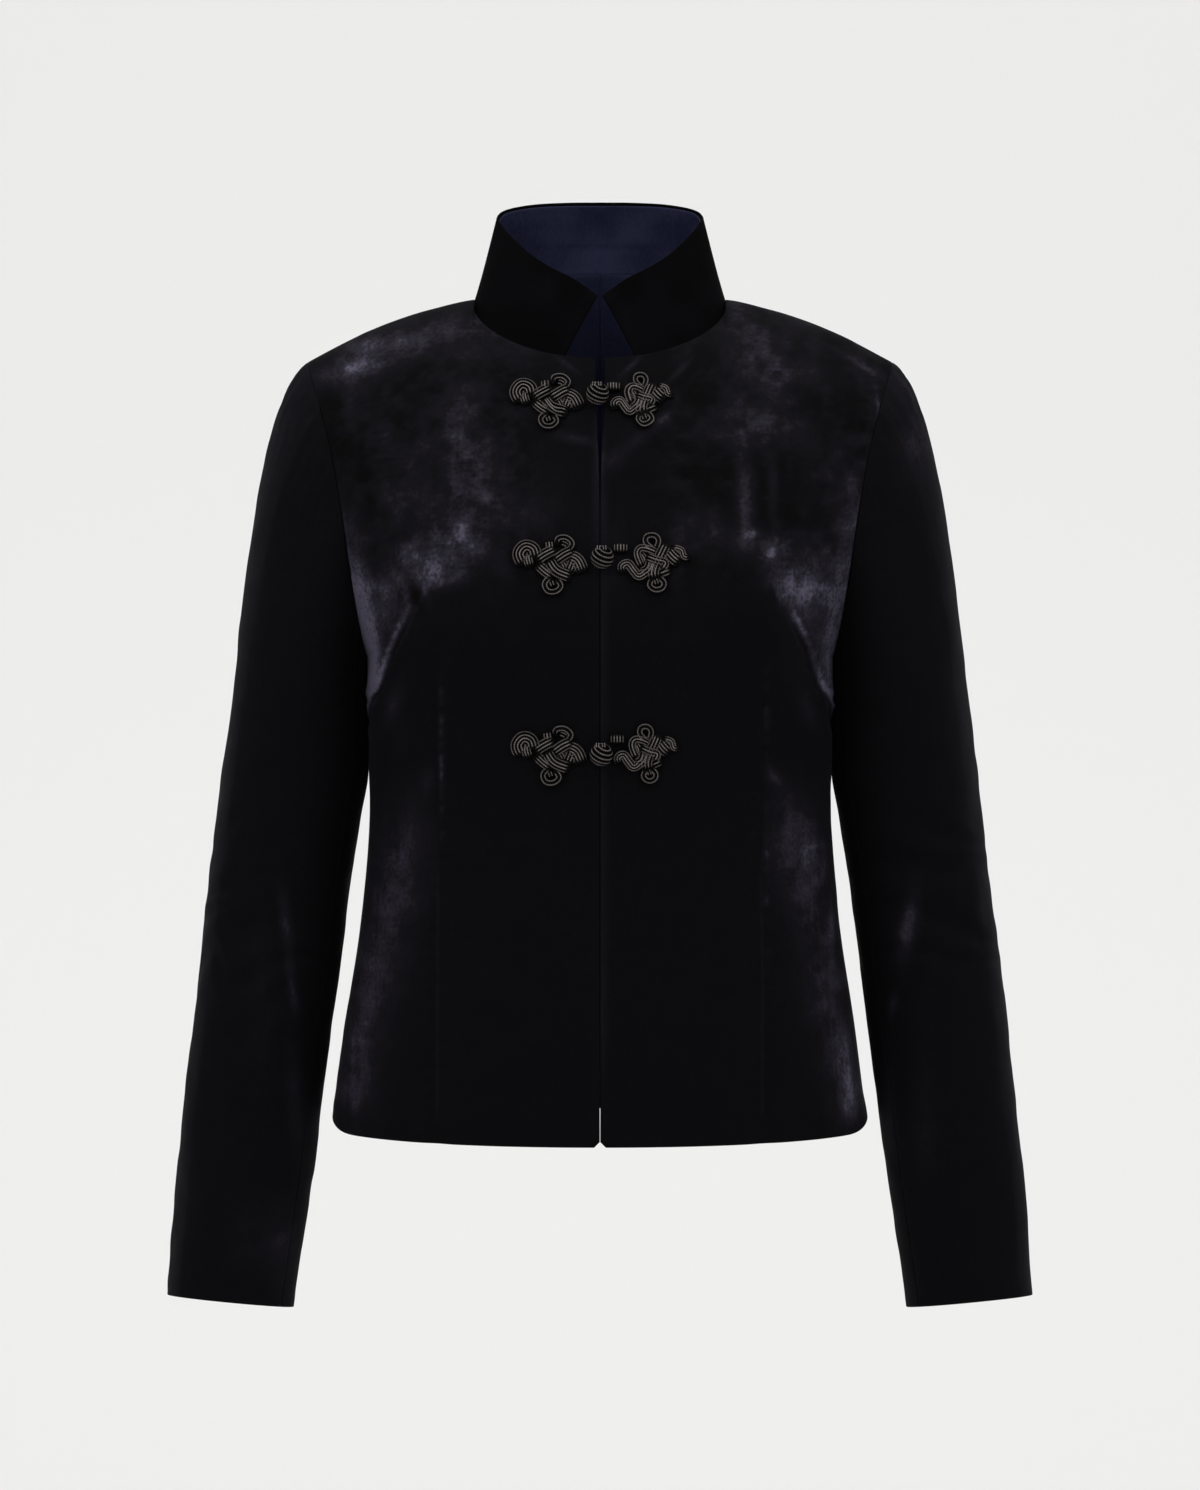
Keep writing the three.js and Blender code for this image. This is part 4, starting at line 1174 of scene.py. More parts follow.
@dataclass
class Back:
    """The velvet back, one piece with two waist darts."""

    rows: int = 230
    cols: int = 170
    thickness: float = 1.9

    def half_grid(self, rows: Array, column: Array) -> Array:
        """Outer points of both halves from the wearer's right to the left.

        Args:
            rows: places up the table of levels.
            column: places across, less than 0 on the right.
        Returns:
            The points, rows by columns by coordinates.
        """
        grid = FORM.surface(Half.BACK, rows[:, None], np.abs(column)[None, :])
        grid[..., 0] *= np.sign(column)[None, :]
        return grid

    def build(self, fronts: Fronts, material: bpy.types.Material) -> None:
        """Builds the back.

        Args:
            fronts: whose levels it shares.
            material: what the pieces look like.
        """
        last = FORM.column_shares(Half.BACK)[2]
        column = np.linspace(-last, last, self.cols)
        grid = self.half_grid(fronts.row_levels(self.rows), column)
        grid = round_hem(grid, corner((np.abs(grid[:, :1, 0]) - np.abs(grid[..., 0])) * 0.55, 8))
        x, z = grid[..., 0], grid[..., 2]
        off = np.abs(x) - DART_X
        fade = ease((-150 - z) / 50) * (1 - ease((-z - 470) / 60))
        wave = np.sin(2 * np.pi * z / 12.5 + 2.5 * unevenness(z, x, 21, 5))
        height = fade * (-0.8 * bell(off / 1.3) + 0.3 * wave * bell((np.abs(off) - 4) / 4))
        height = height + 1.0 * unevenness(x * 1.3, z * 0.7, 42, 71) + 0.35 * unevenness(x, z, 14, 72)
        shell = Shell(grid, self.thickness, -1)
        shell.raise_by(height * ease(from_ends(self.rows) / 6)[:, None] * ease(from_ends(self.cols) / 4))
        broken = 1 + 0.5 * unevenness(x * 1.5, z * 0.8, 22, 73) + 0.3 * unevenness(x, z, 9, 74)
        shell.values["sheen_and_nap"] = np.clip(patches(SHEEN_BACK, x, z) * broken + 0.05, 0, 1.2)
        obj = shell.build(material, "velvet", "back")


@dataclass(frozen=True)
class Ring:
    """One ring of the sleeve: its middle and its half sizes across and deep."""

    x: float
    y: float
    z: float
    wide: float
    deep: float


SLEEVE_RINGS = (
    Ring(237.9, -24, -649, 40.8, 38),
    Ring(231.8, -17, -587, 43.3, 40),
    Ring(224.8, -8, -522, 44.6, 43.5),
    Ring(217.4, 0, -457, 45.2, 47),
    Ring(209.8, 6, -392, 45.8, 50.5),
    Ring(201.8, 7, -327, 46.2, 53.5),
    Ring(195.9, 4, -262, 43.4, 55),
)


@dataclass
class Sleeves:
    """The two sleeves, each an upper and an under piece."""

    rows: int = 250
    upper_cols: int = 76
    under_cols: int = 44
    thickness: float = 1.9
    top: int = 6
    cap_top: tuple[float, float, float] = (-0.85, 0, 0.5)
    cap_under: tuple[float, float, float] = (-0.1, 0, 1.0)
    cap_fullness: float = 0.49
    hind_level: float = 10
    fore_level: float = 7

    def ring_point(self, t: Array, degrees: Array) -> Array:
        """Points of an oval ring square to the sleeve's middle line. 0 is the outer side, 90 the back.

        Args:
            t: places up the sleeve's rings.
            degrees: angles round the sleeve, 0 on its outer side.
        Returns:
            The points, coordinates last.
        """
        table = columns(SLEEVE_RINGS, "x", "y", "z", "wide", "deep")
        here = spline(table, t)
        middle, wide, deep = here[..., :3], here[..., 3:4], here[..., 4:5]
        ahead = spline(table, np.minimum(t + 0.1, self.top))[..., :3]
        behind = spline(table, np.maximum(t - 0.1, 0))[..., :3]
        axis = unit(ahead - behind)
        outward = unit(np.array([1.0, 0, 0]) - axis * axis[..., :1])
        back = np.cross(axis, outward)
        turn = np.radians(degrees)[..., None]
        return middle + outward * wide * np.cos(turn) + back * deep * np.sin(turn)

    def armhole(self, half: Half) -> tuple[Array, Array, Array]:
        """The body's armhole edge from the underarm up: points, share of its length, and levels.

        Args:
            half: front or back.
        Returns:
            The points, their shares from 0 to 1, and their levels.
        """
        levels = np.linspace(FORM.underarm, FORM.chest + 1, 500)
        last = FORM.column_shares(half)[2]
        points = FORM.surface(half, levels, np.full_like(levels, last))
        share = lengths_along(points)
        return points, share / share[-1], levels

    def loop(self, degrees: Array) -> Array:
        """Armhole points for angles: 0 at the shoulder, down the back to 180, up the front to 360.

        Args:
            degrees: angles round the sleeve, 0 on its outer side.
        Returns:
            The points, coordinates last.
        """
        turned = np.mod(degrees, 360)
        up_share = np.where(turned <= 180, 1 - turned / 180, (turned - 180) / 180)
        result = np.zeros(turned.shape + (3,))
        for half, chosen in ((Half.BACK, turned <= 180), (Half.FRONT, turned > 180)):
            points, share, _ = self.armhole(half)
            each = np.stack([np.interp(up_share, share, points[:, k]) for k in range(3)], axis=-1)
            result = np.where(chosen[..., None], each, result)
        return result

    def seam_degrees(self) -> tuple[float, float]:
        """Angles of the hind and the fore seam.

        Returns:
            The two angles.
        """
        _, share, levels = self.armhole(Half.BACK)
        hind = 180 * (1 - np.interp(self.hind_level, levels, share))
        _, share, levels = self.armhole(Half.FRONT)
        fore = 180 + 180 * np.interp(self.fore_level, levels, share)
        return float(hind), float(fore)

    def surface(self, t: Array, degrees: Array) -> Array:
        """Points of the sleeve: rings 0 to 6, then a cubic from the top ring to the armhole at 7.

        Args:
            t: places up the sleeve's rings.
            degrees: angles round the sleeve, 0 on its outer side.
        Returns:
            The points, rows by columns by coordinates.
        """
        t, degrees = np.broadcast_arrays(t, degrees)
        low = self.ring_point(np.minimum(t, self.top), degrees)
        foot = self.ring_point(np.full_like(t, self.top), degrees)
        goal = self.loop(degrees[0])[None, :, :] + np.zeros_like(foot)
        reach = np.linalg.norm(foot - goal, axis=-1, keepdims=True)
        rise = unit(foot - self.ring_point(np.full_like(t, self.top - 0.2), degrees)) * reach
        w = ((1 + np.cos(np.radians(degrees))) / 2)[..., None]
        arrive = unit(np.array(self.cap_under) * (1 - w) + np.array(self.cap_top) * w)
        cap = hermite(foot, rise, goal, arrive * self.cap_fullness * reach, np.clip(t - self.top, 0, 1))
        return np.where((t > self.top)[..., None], cap, low)

    def rounded(self, degrees: Array, grid: Array) -> tuple[Array, Array]:
        """Two lengths for noise that run on across the seams: one round the sleeve, one mostly along it."""
        turn = np.radians(degrees)
        return 46 * np.sin(turn) + 30 * np.cos(turn), grid[..., 2] + 14 * np.cos(turn + 1)

    def relief(self, side: Side, t: Array, degrees: Array, grid: Array, seams: tuple[float, float]) -> Array:
        """Folds inside the elbow, soft rumples, ease at the cap and puckers along the hind seam.

        Args:
            side: the wearer's side.
            t: places up the sleeve's rings.
            degrees: angles round the sleeve, 0 on its outer side.
            grid: outer points, rows by columns by coordinates, in millimetres.
            seams: angles of the hind and the fore seam.
        Returns:
            A height for each point, in millimetres.
        """
        seed = SLEEVE_SEED[side]
        turn, z = self.rounded(degrees, grid)
        height = 0.9 * unevenness(turn, z * 0.6, 38, seed) + 0.4 * unevenness(turn, z, 15, seed + 1)
        z = grid[..., 2]
        elbow = bell((z + 395) / 70) * bell((np.mod(degrees + 180, 360) - 100) / 60)
        folds = np.sin(2 * np.pi * (z + 0.3 * turn) / 31 + 4 * unevenness(turn, z, 34, seed + 2))
        height = height + 1.2 * elbow * folds * (0.6 + 0.8 * unevenness(turn, z, 45, seed + 6))
        ease_fade = ease((t - 6.55) / 0.35) * (np.cos(np.radians(degrees)) > 0.1)
        gathers = np.sin(2 * np.pi * degrees / 9 + 2 * unevenness(turn, z, 20, seed + 3))
        height = height + 0.5 * ease_fade * gathers
        near_body = bell((np.mod(degrees, 360) - 180) / 55) * ease((z + 365) / 40)
        close = 0.9 + 2.6 * ease((-240 - z) / 50) * ease((z + 338) / 30)
        height = height * (1 - near_body) + close * near_body
        hind = (np.mod(degrees - seams[0] + 180, 360) - 180) * 0.85
        puckers = np.sin(2 * np.pi * z / 10.5 + 2 * unevenness(z, hind, 18, seed + 4))
        return height + 0.35 * bell(hind / 7) * puckers

    def sheen_and_nap(self, side: Side, degrees: Array, grid: Array) -> Array:
        """Painted sheen with mottled pile: lighter down the outer and inner sides, with painted highlights
        by the forearm's folds.

        Args:
            side: the wearer's side.
            degrees: angles round the sleeve, 0 on its outer side.
            grid: outer points, rows by columns by coordinates, in millimetres.
        Returns:
            A value for each point, from 0 for no painted sheen upwards.
        """
        seed = SLEEVE_NAP_SEED[side]
        turn, z = self.rounded(degrees, grid)
        outer = bell((np.mod(degrees + 40, 360) - 24) / 30)
        in_front = ease(-2 * np.sin(np.radians(degrees)))
        behind = bell((np.mod(degrees, 360) - 120) / 50) * (0.5 + 0.5 * unevenness(z, turn, 90, seed + 2))
        base = 0.17 * outer + in_front * patches(SHEEN_SLEEVE[side], grid[..., 0], grid[..., 2]) + 0.3 * behind
        broken = 1 + 0.5 * unevenness(turn, z * 0.5, 20, seed) + 0.3 * unevenness(turn, z, 9, seed + 1)
        return np.clip(base * broken + 0.055, 0, 1.2)

    def build(self, side: Side, material: bpy.types.Material) -> None:
        """Builds the upper and the under piece of one sleeve.

        Args:
            side: the wearer's side.
            material: what the pieces look like.
        """
        hind, fore = self.seam_degrees()
        t = np.interp(np.linspace(0, 1, self.rows), [0, 0.72, 1], [0, self.top, self.top + 1])[:, None]
        spans = {"upper": (fore, hind + 360, self.upper_cols), "under": (hind, fore, self.under_cols)}
        for name, (low, high, count) in spans.items():
            degrees = np.linspace(low, high, count)[None, :] + 0 * t
            grid = self.surface(t, degrees)
            height = self.relief(side, t + 0 * degrees, degrees, grid, (hind, fore))
            shell = Shell(grid * np.array([side.value, 1, 1]), self.thickness, side.value)
            shell.raise_by(height * ease(from_ends(self.rows) / 5)[:, None])
            shell.values["sheen_and_nap"] = self.sheen_and_nap(side, degrees, grid)
            obj = shell.build(material, "velvet", f"sleeve_{name}_{side.name.lower()}")


COLLAR_TOP = (
    Spot(1.4, -50, -4),
    Spot(17, -43.5, 7.5),
    Spot(31, -35, 15.5),
    Spot(44, -22.5, 25),
    Spot(55.8, -7, 37),
    Spot(63.7, 8, 47),
    Spot(67.6, 20, 54.8),
    Spot(62, 29.5, 61),
    Spot(44.6, 36, 65.3),
    Spot(22.5, 38.8, 67),
    Spot(0, 39.5, 67.3),
)


@dataclass
class Collar:
    """The stand collar: velvet outside and satin inside, its front ends rounded at the top."""

    rows: int = 30
    cols: int = 260
    thickness: float = 1.9
    facing_gap: float = 2.05
    facing_thickness: float = 0.9
    bulge: float = 1.2
    sunk: float = 1.2

    def grid(self) -> Array:
        """Outer points from the wearer's right end round the back to the left end.

        Each column runs straight from the neckline to the top table, bowed outwards a little. Near the
        ends the top rows are drawn in along a quarter round.

        Returns:
            The points, rows by columns by coordinates.
        """
        degrees = FORM.front_degrees + FORM.back_degrees[1:]
        last = len(degrees) - 1
        place = np.linspace(-last, last, self.cols)
        index = last - np.abs(place)
        angle = np.interp(index, np.arange(last + 1), degrees)
        base = FORM.neck_point(angle)
        top = spline(columns(COLLAR_TOP, "x", "y", "z"), index)
        t = np.linspace(0, 1, self.rows)[:, None, None]
        base = base - self.sunk * unit(top - base)
        points = base + (top - base) * t
        out = np.stack([np.sin(np.radians(angle)), -np.cos(np.radians(angle)), 0 * angle], axis=-1)
        points = points + out * self.bulge * np.sin(np.pi * t)
        points[..., 0] *= np.where(place > 0, 1, -1)[None, :]
        return points

    def light(self, x: Array, z: Array) -> Array:
        """Painted gloss on the satin: most at the middle of the back, low, with painted shade towards both
        sides and a thin painted shadow across the back.

        Args:
            x: distances from the middle, in millimetres.
            z: heights, in millimetres.
        Returns:
            A value from 0 to 1 for each point.
        """
        middle = bell(x / 40) * bell((z - 22) / 34)
        crease = bell((z - 41 + np.square(x / 30)) / 1.6) * bell(x / 40)
        return np.clip(-0.05 + 0.95 * middle + 0.25 * unevenness(x, z * 1.6, 26, 204) - 0.3 * crease, 0, 1)

    def build(self, velvet: bpy.types.Material, satin: bpy.types.Material) -> None:
        """Builds the collar and its inner side.

        Args:
            velvet: for the outer side.
            satin: for the inner side.
        """
        grid = self.grid()
        x, z = grid[..., 0], grid[..., 2]
        shell = Shell(grid[:, ::-1], self.thickness, 1, 0.7)
        shell.values["sheen_and_nap"] = np.clip(0.02 + 0.04 * unevenness(x, z, 18, 201)[:, ::-1], 0, 1)
        obj = shell.build(velvet, "velvet", "collar")
        inner = grid[:, ::-1] - shell.normals() * self.facing_gap
        facing = Shell(inner[:-1, 2:-2], self.facing_thickness, 1, 0.3)
        facing.values["light"] = self.light(x[:-1, -3:1:-1], z[:-1, -3:1:-1])
        obj = facing.build(satin, "satin", "collar_facing")


@dataclass
class BackLining:
    """The satin lining of the back, in two halves with a pressed seam between them."""

    rows: int = 120
    cols: int = 60
    gap: float = 2.05
    thickness: float = 0.8

    def build(self, fronts: Fronts, side: Side, satin: bpy.types.Material) -> None:
        """Builds one half.

        Args:
            fronts: whose levels it shares.
            side: the wearer's side.
            satin: what the pieces look like.
        """
        last = FORM.column_shares(Half.BACK)[2]
        column = np.linspace(0.004, last, self.cols)
        grid = FORM.surface(Half.BACK, fronts.row_levels(self.rows)[:, None], column[None, :])
        grid = round_hem(grid, corner((grid[:, -1:, 0] - grid[..., 0]) * 0.55, 8))
        grid = grid * np.array([side.value, 1, 1])
        inner = grid - Shell(grid, self.gap, -side.value).normals() * self.gap
        shell = Shell(inner, self.thickness, -side.value, 0.25)
        x, z = grid[..., 0], grid[..., 2]
        soft = 0.5 * unevenness(x * 1.6, z * 0.5, 30, 301) - 0.5
        middle = -0.35 * bell(x / 1.6)
        fade = ease(from_ends(self.rows) / 5)[:, None] * ease(np.arange(self.cols)[::-1] / 4)[None, :]
        shell.raise_by(-np.abs(soft) * fade + middle * fade)
        # Painted gloss on the lining, uneven, fading out downwards from the neck.
        light = np.clip(0.55 + 0.5 * unevenness(x, z * 0.7, 30, 303), 0, 1)
        shell.values["light"] = light * ease((z + 190) / 150)
        obj = shell.build(satin, "satin", f"lining_back_{side.name.lower()}")


@dataclass(frozen=True)
class Pass:
    """One pass of a frog's flat cord: how wide and high it lies, and its route from the frog's middle."""

    wide: float
    high: float
    route: tuple[tuple[float, float], ...]


RIGHT_PASSES = (
    Pass(8.4, 3.2, ((-42.2, 3.4), (-43.9, 9.6), (-48.6, 11.2), (-52.1, 6.5), (-49.4, -0.2))),
    Pass(6.6, 2.6, ((-41.9, 2.5), (-36, 6.5), (-28.5, 10.4))),
    Pass(4.5, 2.2, ((-33.5, 15.9), (-32.8, 9.6))),
    Pass(3.4, 2.8, ((-28.5, 12.5), (-27.3, 17), (-21.8, 17.5), (-17.9, 13.5), (-21, 8.6))),
    Pass(6.6, 3.2, ((-16.5, 9.2), (-22.6, 6.5), (-30, 1.5))),
    Pass(7.8, 2.6, ((-20.4, 5.5), (-14.4, 2.5), (-10.8, -5.2))),
    Pass(6.4, 2.0, ((-16.5, 3.7), (-20.2, -5.4))),
    Pass(6.6, 3.0, ((-34, 3.2), (-28.5, -4.2), (-18.4, -8.5))),
    Pass(6.0, 2.2, ((-41.1, 0.4), (-36, -4.2), (-30.3, -8.3))),
    Pass(5.4, 2.4, ((-46.6, 8.4), (-46.9, 3.6), (-45.2, -2.2))),
    Pass(5.6, 1.4, ((-29.6, 6.4), (-25.2, 2.4), (-21.4, -3.6))),
    Pass(3.0, 1.6, ((-26.2, 14.4), (-22.8, 13.6), (-20.2, 11.4))),
    Pass(2.8, 1.6, ((-32.2, -9.6), (-31.2, -12.4), (-30.4, -14.6))),
    Pass(
        3.4, 2.8,
        ((-31.8, -7.3), (-36, -12.4), (-34, -17.2), (-28.9, -17.6), (-25.4, -14), (-28.7, -8.9)),
    ),
)
LEFT_PASSES = (
    Pass(5.6, 2.8, ((15.4, -5.5), (14.4, -1.4), (18.2, 0.2), (21.9, -4.2), (25.4, -7.3), (30.8, -3.8))),
    Pass(6.4, 2.4, ((25.4, -6.3), (31.3, -3.2), (33.7, 3.9))),
    Pass(4.4, 2.6, ((27.6, -2.2), (24.2, 6.4), (26, 10.4), (30.9, 10.2), (37.9, 7.4))),
    Pass(3.4, 2.8, ((35.9, 8.4), (29.9, 13.9), (30.6, 18.2), (35.5, 18.7), (38, 15.1), (35.9, 8.8))),
    Pass(6.6, 2.6, ((43.1, 14.1), (40, 7.6), (34.8, -3.4), (35.3, -9.9))),
    Pass(4.6, 3.4, ((29.2, 5.5), (36.5, 2.7), (42.4, 0.9), (39.4, -4.4))),
    Pass(8.0, 2.8, ((43.4, 9.9), (47.9, 4.7), (52.2, 1.6))),
    Pass(3.8, 2.4, ((46.1, 11.4), (52.6, 9.4), (54.4, 5.1), (58.8, 5.1))),
    Pass(5.2, 2.2, ((46.1, -3), (37.6, -6.4))),
    Pass(3.4, 2.8, ((34.2, -8.3), (32.2, -13.4), (35.7, -16.4), (40.2, -15.4), (41.4, -11.8), (37.4, -7.7))),
    Pass(7.6, 3.4, ((13.4, 14.2), (13.4, 11), (13.4, 7.2))),
    Pass(4.0, 1.6, ((25.2, 8.6), (28.4, 4.6), (29.4, 0.2))),
    Pass(2.8, 1.6, ((35.2, -8.4), (36.6, -11.2), (37.2, -13.8))),
)


@dataclass(frozen=True)
class FrogPlace:
    """Where a frog lies on the fronts, how long and tall it is, and where its knot is."""

    name: str
    x: float
    z: float
    reach: float
    tall: float
    knot_x: float
    knot_z: float


FROG_PLACES = (
    FrogPlace("top", -2.6, -74.7, 0.87, 0.95, 1.0, 3.2),
    FrogPlace("middle", 0.0, -179.0, 1.0, 1.0, 1.4, 3.6),
    FrogPlace("bottom", -0.8, -297.4, 0.89, 1.0, 1.6, 0.8),
)


class FrontMap:
    """Height map of the finished fronts, to lay the frogs on: y for any x and z near the middle."""

    half = 72.0
    low, high = -335.0, -48.0
    step = 1.0

    def __init__(self, grids: dict[Side, Array]) -> None:
        """Resamples both fronts' outer grids on even steps of x and then of z.

        Args:
            grids: each side's outer points, rows by columns by coordinates.
        """
        self.xs = np.arange(-self.half, self.half + self.step, self.step)
        self.zs = np.arange(self.low, self.high + self.step, self.step)
        self.y = np.zeros((len(self.zs), len(self.xs)))
        for side, grid in grids.items():
            chosen = self.xs * side.value > -0.5 * self.step
            wanted = np.abs(self.xs[chosen])
            across = np.abs(grid[..., 0])
            y_rows, z_rows = (
                np.stack([np.interp(wanted, a, g) for a, g in zip(across, grid[..., k])]) for k in (1, 2)
            )
            self.y[:, chosen] = np.stack(
                [np.interp(self.zs, z, y) for z, y in zip(z_rows.T, y_rows.T)], axis=1
            )
        for axis in (0, 1):
            self.y = np.apply_along_axis(self._smooth, axis, self.y)
        self.slope_z, self.slope_x = np.gradient(self.y, self.step)

    @staticmethod
    def _smooth(line: Array) -> Array:
        """Blends each height with the two next to it on either side, by the weights 1, 4, 6, 4, 1."""
        return np.convolve(np.pad(line, 2, "edge"), np.array([1, 4, 6, 4, 1]) / 16, "valid")

    def _sample(self, table: Array, x: Array, z: Array) -> Array:
        """A table's values at x and z, blended evenly between its four nearest entries.

        Args:
            table: one value for each step of z and x.
            x: distances from the middle, in millimetres.
            z: heights, in millimetres.
        Returns:
            The values.
        """
        u = np.clip((x + self.half) / self.step, 0, len(self.xs) - 1.001)
        v = np.clip((z - self.low) / self.step, 0, len(self.zs) - 1.001)
        i, j = u.astype(int), v.astype(int)
        f, g = u - i, v - j
        low = table[j, i] * (1 - f) + table[j, i + 1] * f
        high = table[j + 1, i] * (1 - f) + table[j + 1, i + 1] * f
        return low * (1 - g) + high * g

    def place(self, x: Array, z: Array) -> tuple[Array, Array]:
        """Points of the cloth at x and z and the unit normals there.

        Args:
            x: distances from the middle, in millimetres.
            z: heights, in millimetres.
        Returns:
            The points and the normals, coordinates last.
        """
        point = np.stack([x, self._sample(self.y, x, z), z], axis=-1)
        slope_x, slope_z = self._sample(self.slope_x, x, z), self._sample(self.slope_z, x, z)
        return point, unit(np.stack([slope_x, -np.ones_like(slope_x), slope_z], axis=-1))


class Tubes:
    """Gathers round tubes with closed ends into one mesh, with each point's crown, which carries the painted
    highlight, and place along.
    """

    sides = 8

    def __init__(self) -> None:
        """Starts empty."""
        self.points: list[Array] = []
        self.quads: list[Array] = []
        self.crown: list[Array] = []
        self.along: list[Array] = []
        self.count = 0

    def add(self, path: Array, out: Array, high: float, wide: float, shine: Array | float = 1.0) -> None:
        """Adds one tube.

        Args:
            path: centre line, points by coordinates.
            out: direction at each point in which the tube's crown faces.
            high: half size along out.
            wide: half size across.
            shine: how much painted highlight its crown has, 0 for a dark core, as one value or one for each
                point.
        """
        ahead = unit(np.gradient(path, axis=0))
        across = unit(np.cross(ahead, out))
        up = np.cross(across, ahead)
        count = len(path)
        length = lengths_along(path)
        turn = np.linspace(0, 2 * np.pi, self.sides, endpoint=False)
        size = np.ones(count)
        size[[0, -1]] = 0.55
        ring = up[:, None] * (-np.cos(turn) * high)[None, :, None]
        ring = ring + across[:, None] * (np.sin(turn) * wide)[None, :, None]
        self.points.append((path[:, None] + ring * size[:, None, None]).reshape(-1, 3))
        self.crown.append(np.outer(np.broadcast_to(shine, count), 0.5 - 0.5 * np.cos(turn)).ravel())
        self.along.append(np.repeat(length, self.sides))
        index = self.count + np.arange(count * self.sides).reshape(count, self.sides)
        after = np.roll(index, -1, axis=1)
        body = np.stack([index[:-1], index[1:], after[1:], after[:-1]], axis=-1).reshape(-1, 4)
        cap = np.array([[0, 1, 2, 3], [0, 3, 4, 7], [7, 4, 5, 6]])
        self.quads += [body, index[0][cap], index[-1][cap[:, ::-1]]]
        self.count += count * self.sides

    def build(self, material: bpy.types.Material, node: str) -> None:
        """Makes the mesh object in place of a node.

        Args:
            material: what the pieces look like.
            node: the CAD node that the piece stands for.
        """
        obj = mesh_object(f"{node}_cord", np.concatenate(self.points), np.concatenate(self.quads))
        values = {"crown": np.concatenate(self.crown), "along": np.concatenate(self.along)}
        finish_piece(obj, values, material, node)
        log.info("%s: %d points", obj.name, self.count)


@dataclass
class Frogs:
    """The three frogs: flat cords of parallel twisted threads knotted into ornaments, and ball knots.

    Over its last end_run millimetres a cord sinks to the cloth, narrows by the share pinch and gets painted
    shade. Its outer threads lie lower by side_drop and get less painted highlight by side_shade. The core is
    core_wide of the width.
    """

    surface: FrontMap
    scale: float = 0.96
    lift: float = 0.5
    fullness: float = 1.2
    thread: float = 0.7
    spacing: float = 1.85
    step: float = 0.75
    end_run: float = 3.2
    pinch: float = 0.14
    side_drop: float = 0.3
    side_shade: float = 0.09
    core_wide: float = 0.42
    knot: tuple[float, float, float] = (7.2, 4.6, 7.2)
    knot_axis: tuple[float, float, float] = (0.42, -0.55, 0.95)
    knot_rings: tuple[float, ...] = (-64, -40, -16, 8, 32, 56)

    def lay(self, tubes: Tubes, route: Array, wide: float, high: float) -> None:
        """Lays one flat cord: a dark core and threads side by side, lower at its sides and ends, with
        painted shade there.

        Args:
            tubes: the ornament it joins.
            route: (x, z) points on the front.
            wide: width of the cord.
            high: height of its crown over the cloth.
        """
        dense = spline(route, np.linspace(0, len(route) - 1, 60))
        length = lengths_along(dense)
        count = max(int(length[-1] / self.step), 8)
        run = np.linspace(0, length[-1], count)
        line = np.stack([np.interp(run, length, dense[:, k]) for k in (0, 1)], axis=1)
        ahead = unit(np.gradient(line, axis=0))
        left = np.stack([-ahead[:, 1], ahead[:, 0]], axis=1)
        ends = ease(np.minimum(run, length[-1] - run) / min(self.end_run, 0.3 * length[-1]))
        narrow = 1 - self.pinch + self.pinch * ends
        threads = max(round((wide - 2 * self.thread) / self.spacing) + 1, 2)
        places = (np.arange(threads) - (threads - 1) / 2) * (wide - 2 * self.thread) / max(threads - 1, 1)
        crown = self.lift + high - self.thread
        floor = self.lift + self.thread * 0.4
        for offset in places:
            outer = (2 * offset / wide) ** 2
            at = line + left * (offset * narrow)[:, None]
            point, out = self.surface.place(at[:, 0], at[:, 1])
            rise = floor + (crown * (1 - self.side_drop * outer) - floor) * ends
            # Painted shade where the cord sinks at its ends, and less painted highlight on its outer
            # threads.
            shine = (0.45 + 0.55 * ends) * (1 - self.side_shade * outer)
            tubes.add(point + out * rise[:, None], out, self.thread, self.thread, shine)
        point, out = self.surface.place(line[:, 0], line[:, 1])
        thick = max((crown * 0.75 - self.lift) / 2, 0.3)
        core = self.lift + thick * (0.4 + 0.6 * ends)
        tubes.add(point + out * core[:, None], out, thick, wide * self.core_wide, 0.0)

    def ball(self, tubes: Tubes, x: float, z: float) -> None:
        """Adds a ball knot: threads wound round a tilted axis over a core, and two short ends on top.

        Args:
            tubes: where the threads go.
            x: its middle, across.
            z: its middle, up.
        """
        point, out = self.surface.place(np.array([4.2]), np.array([z]))
        out = unit(out * np.array([0, 1, 1]))[0]
        half, deep, _ = self.knot
        centre = np.array([x, point[0, 1], z]) + out * (self.lift + math.hypot(deep * out[1], half * out[2]))
        size = np.array(self.knot) - self.thread
        axis = unit(np.array(self.knot_axis))
        side = unit(np.cross(axis, [0, 1, 0]))
        front = np.cross(side, axis)
        turn = np.linspace(0, 2 * np.pi, 49)
        for degrees in self.knot_rings:
            high, wide = math.sin(math.radians(degrees)), math.cos(math.radians(degrees))
            ring = axis * high + (np.outer(np.cos(turn), front) + np.outer(np.sin(turn), side)) * wide
            tubes.add(centre + ring * size, unit(ring / size), self.thread, self.thread * 1.12, 0.97)
        spin = np.linspace(-0.97, 0.97, 15) * math.pi / 2
        spine = np.outer(np.sin(spin), [0, 0, 1])
        for share in (0.45, 0.75, 0.96):
            reach = (size - 0.45) * share
            high, wide = reach[1] * 0.72, reach[0] * 0.72
            tubes.add(centre + spine * reach, np.tile([0.0, -1, 0], (15, 1)), high, wide, 0.0)
        for shift, lean in ((-2.6, 0.5), (1.6, -0.3)):
            rise = np.linspace(0, 1, 8)[:, None]
            for k in (-0.65, 0.65):
                foot = np.array([shift + k, -deep * 0.62, half * 0.62])
                top = np.array([shift + k * 1.3 + lean, -deep * 0.5, half * 1.02])
                tubes.add(centre + foot + (top - foot) * rise, np.tile([0.0, -1, 0.2], (8, 1)), 0.6, 0.6)

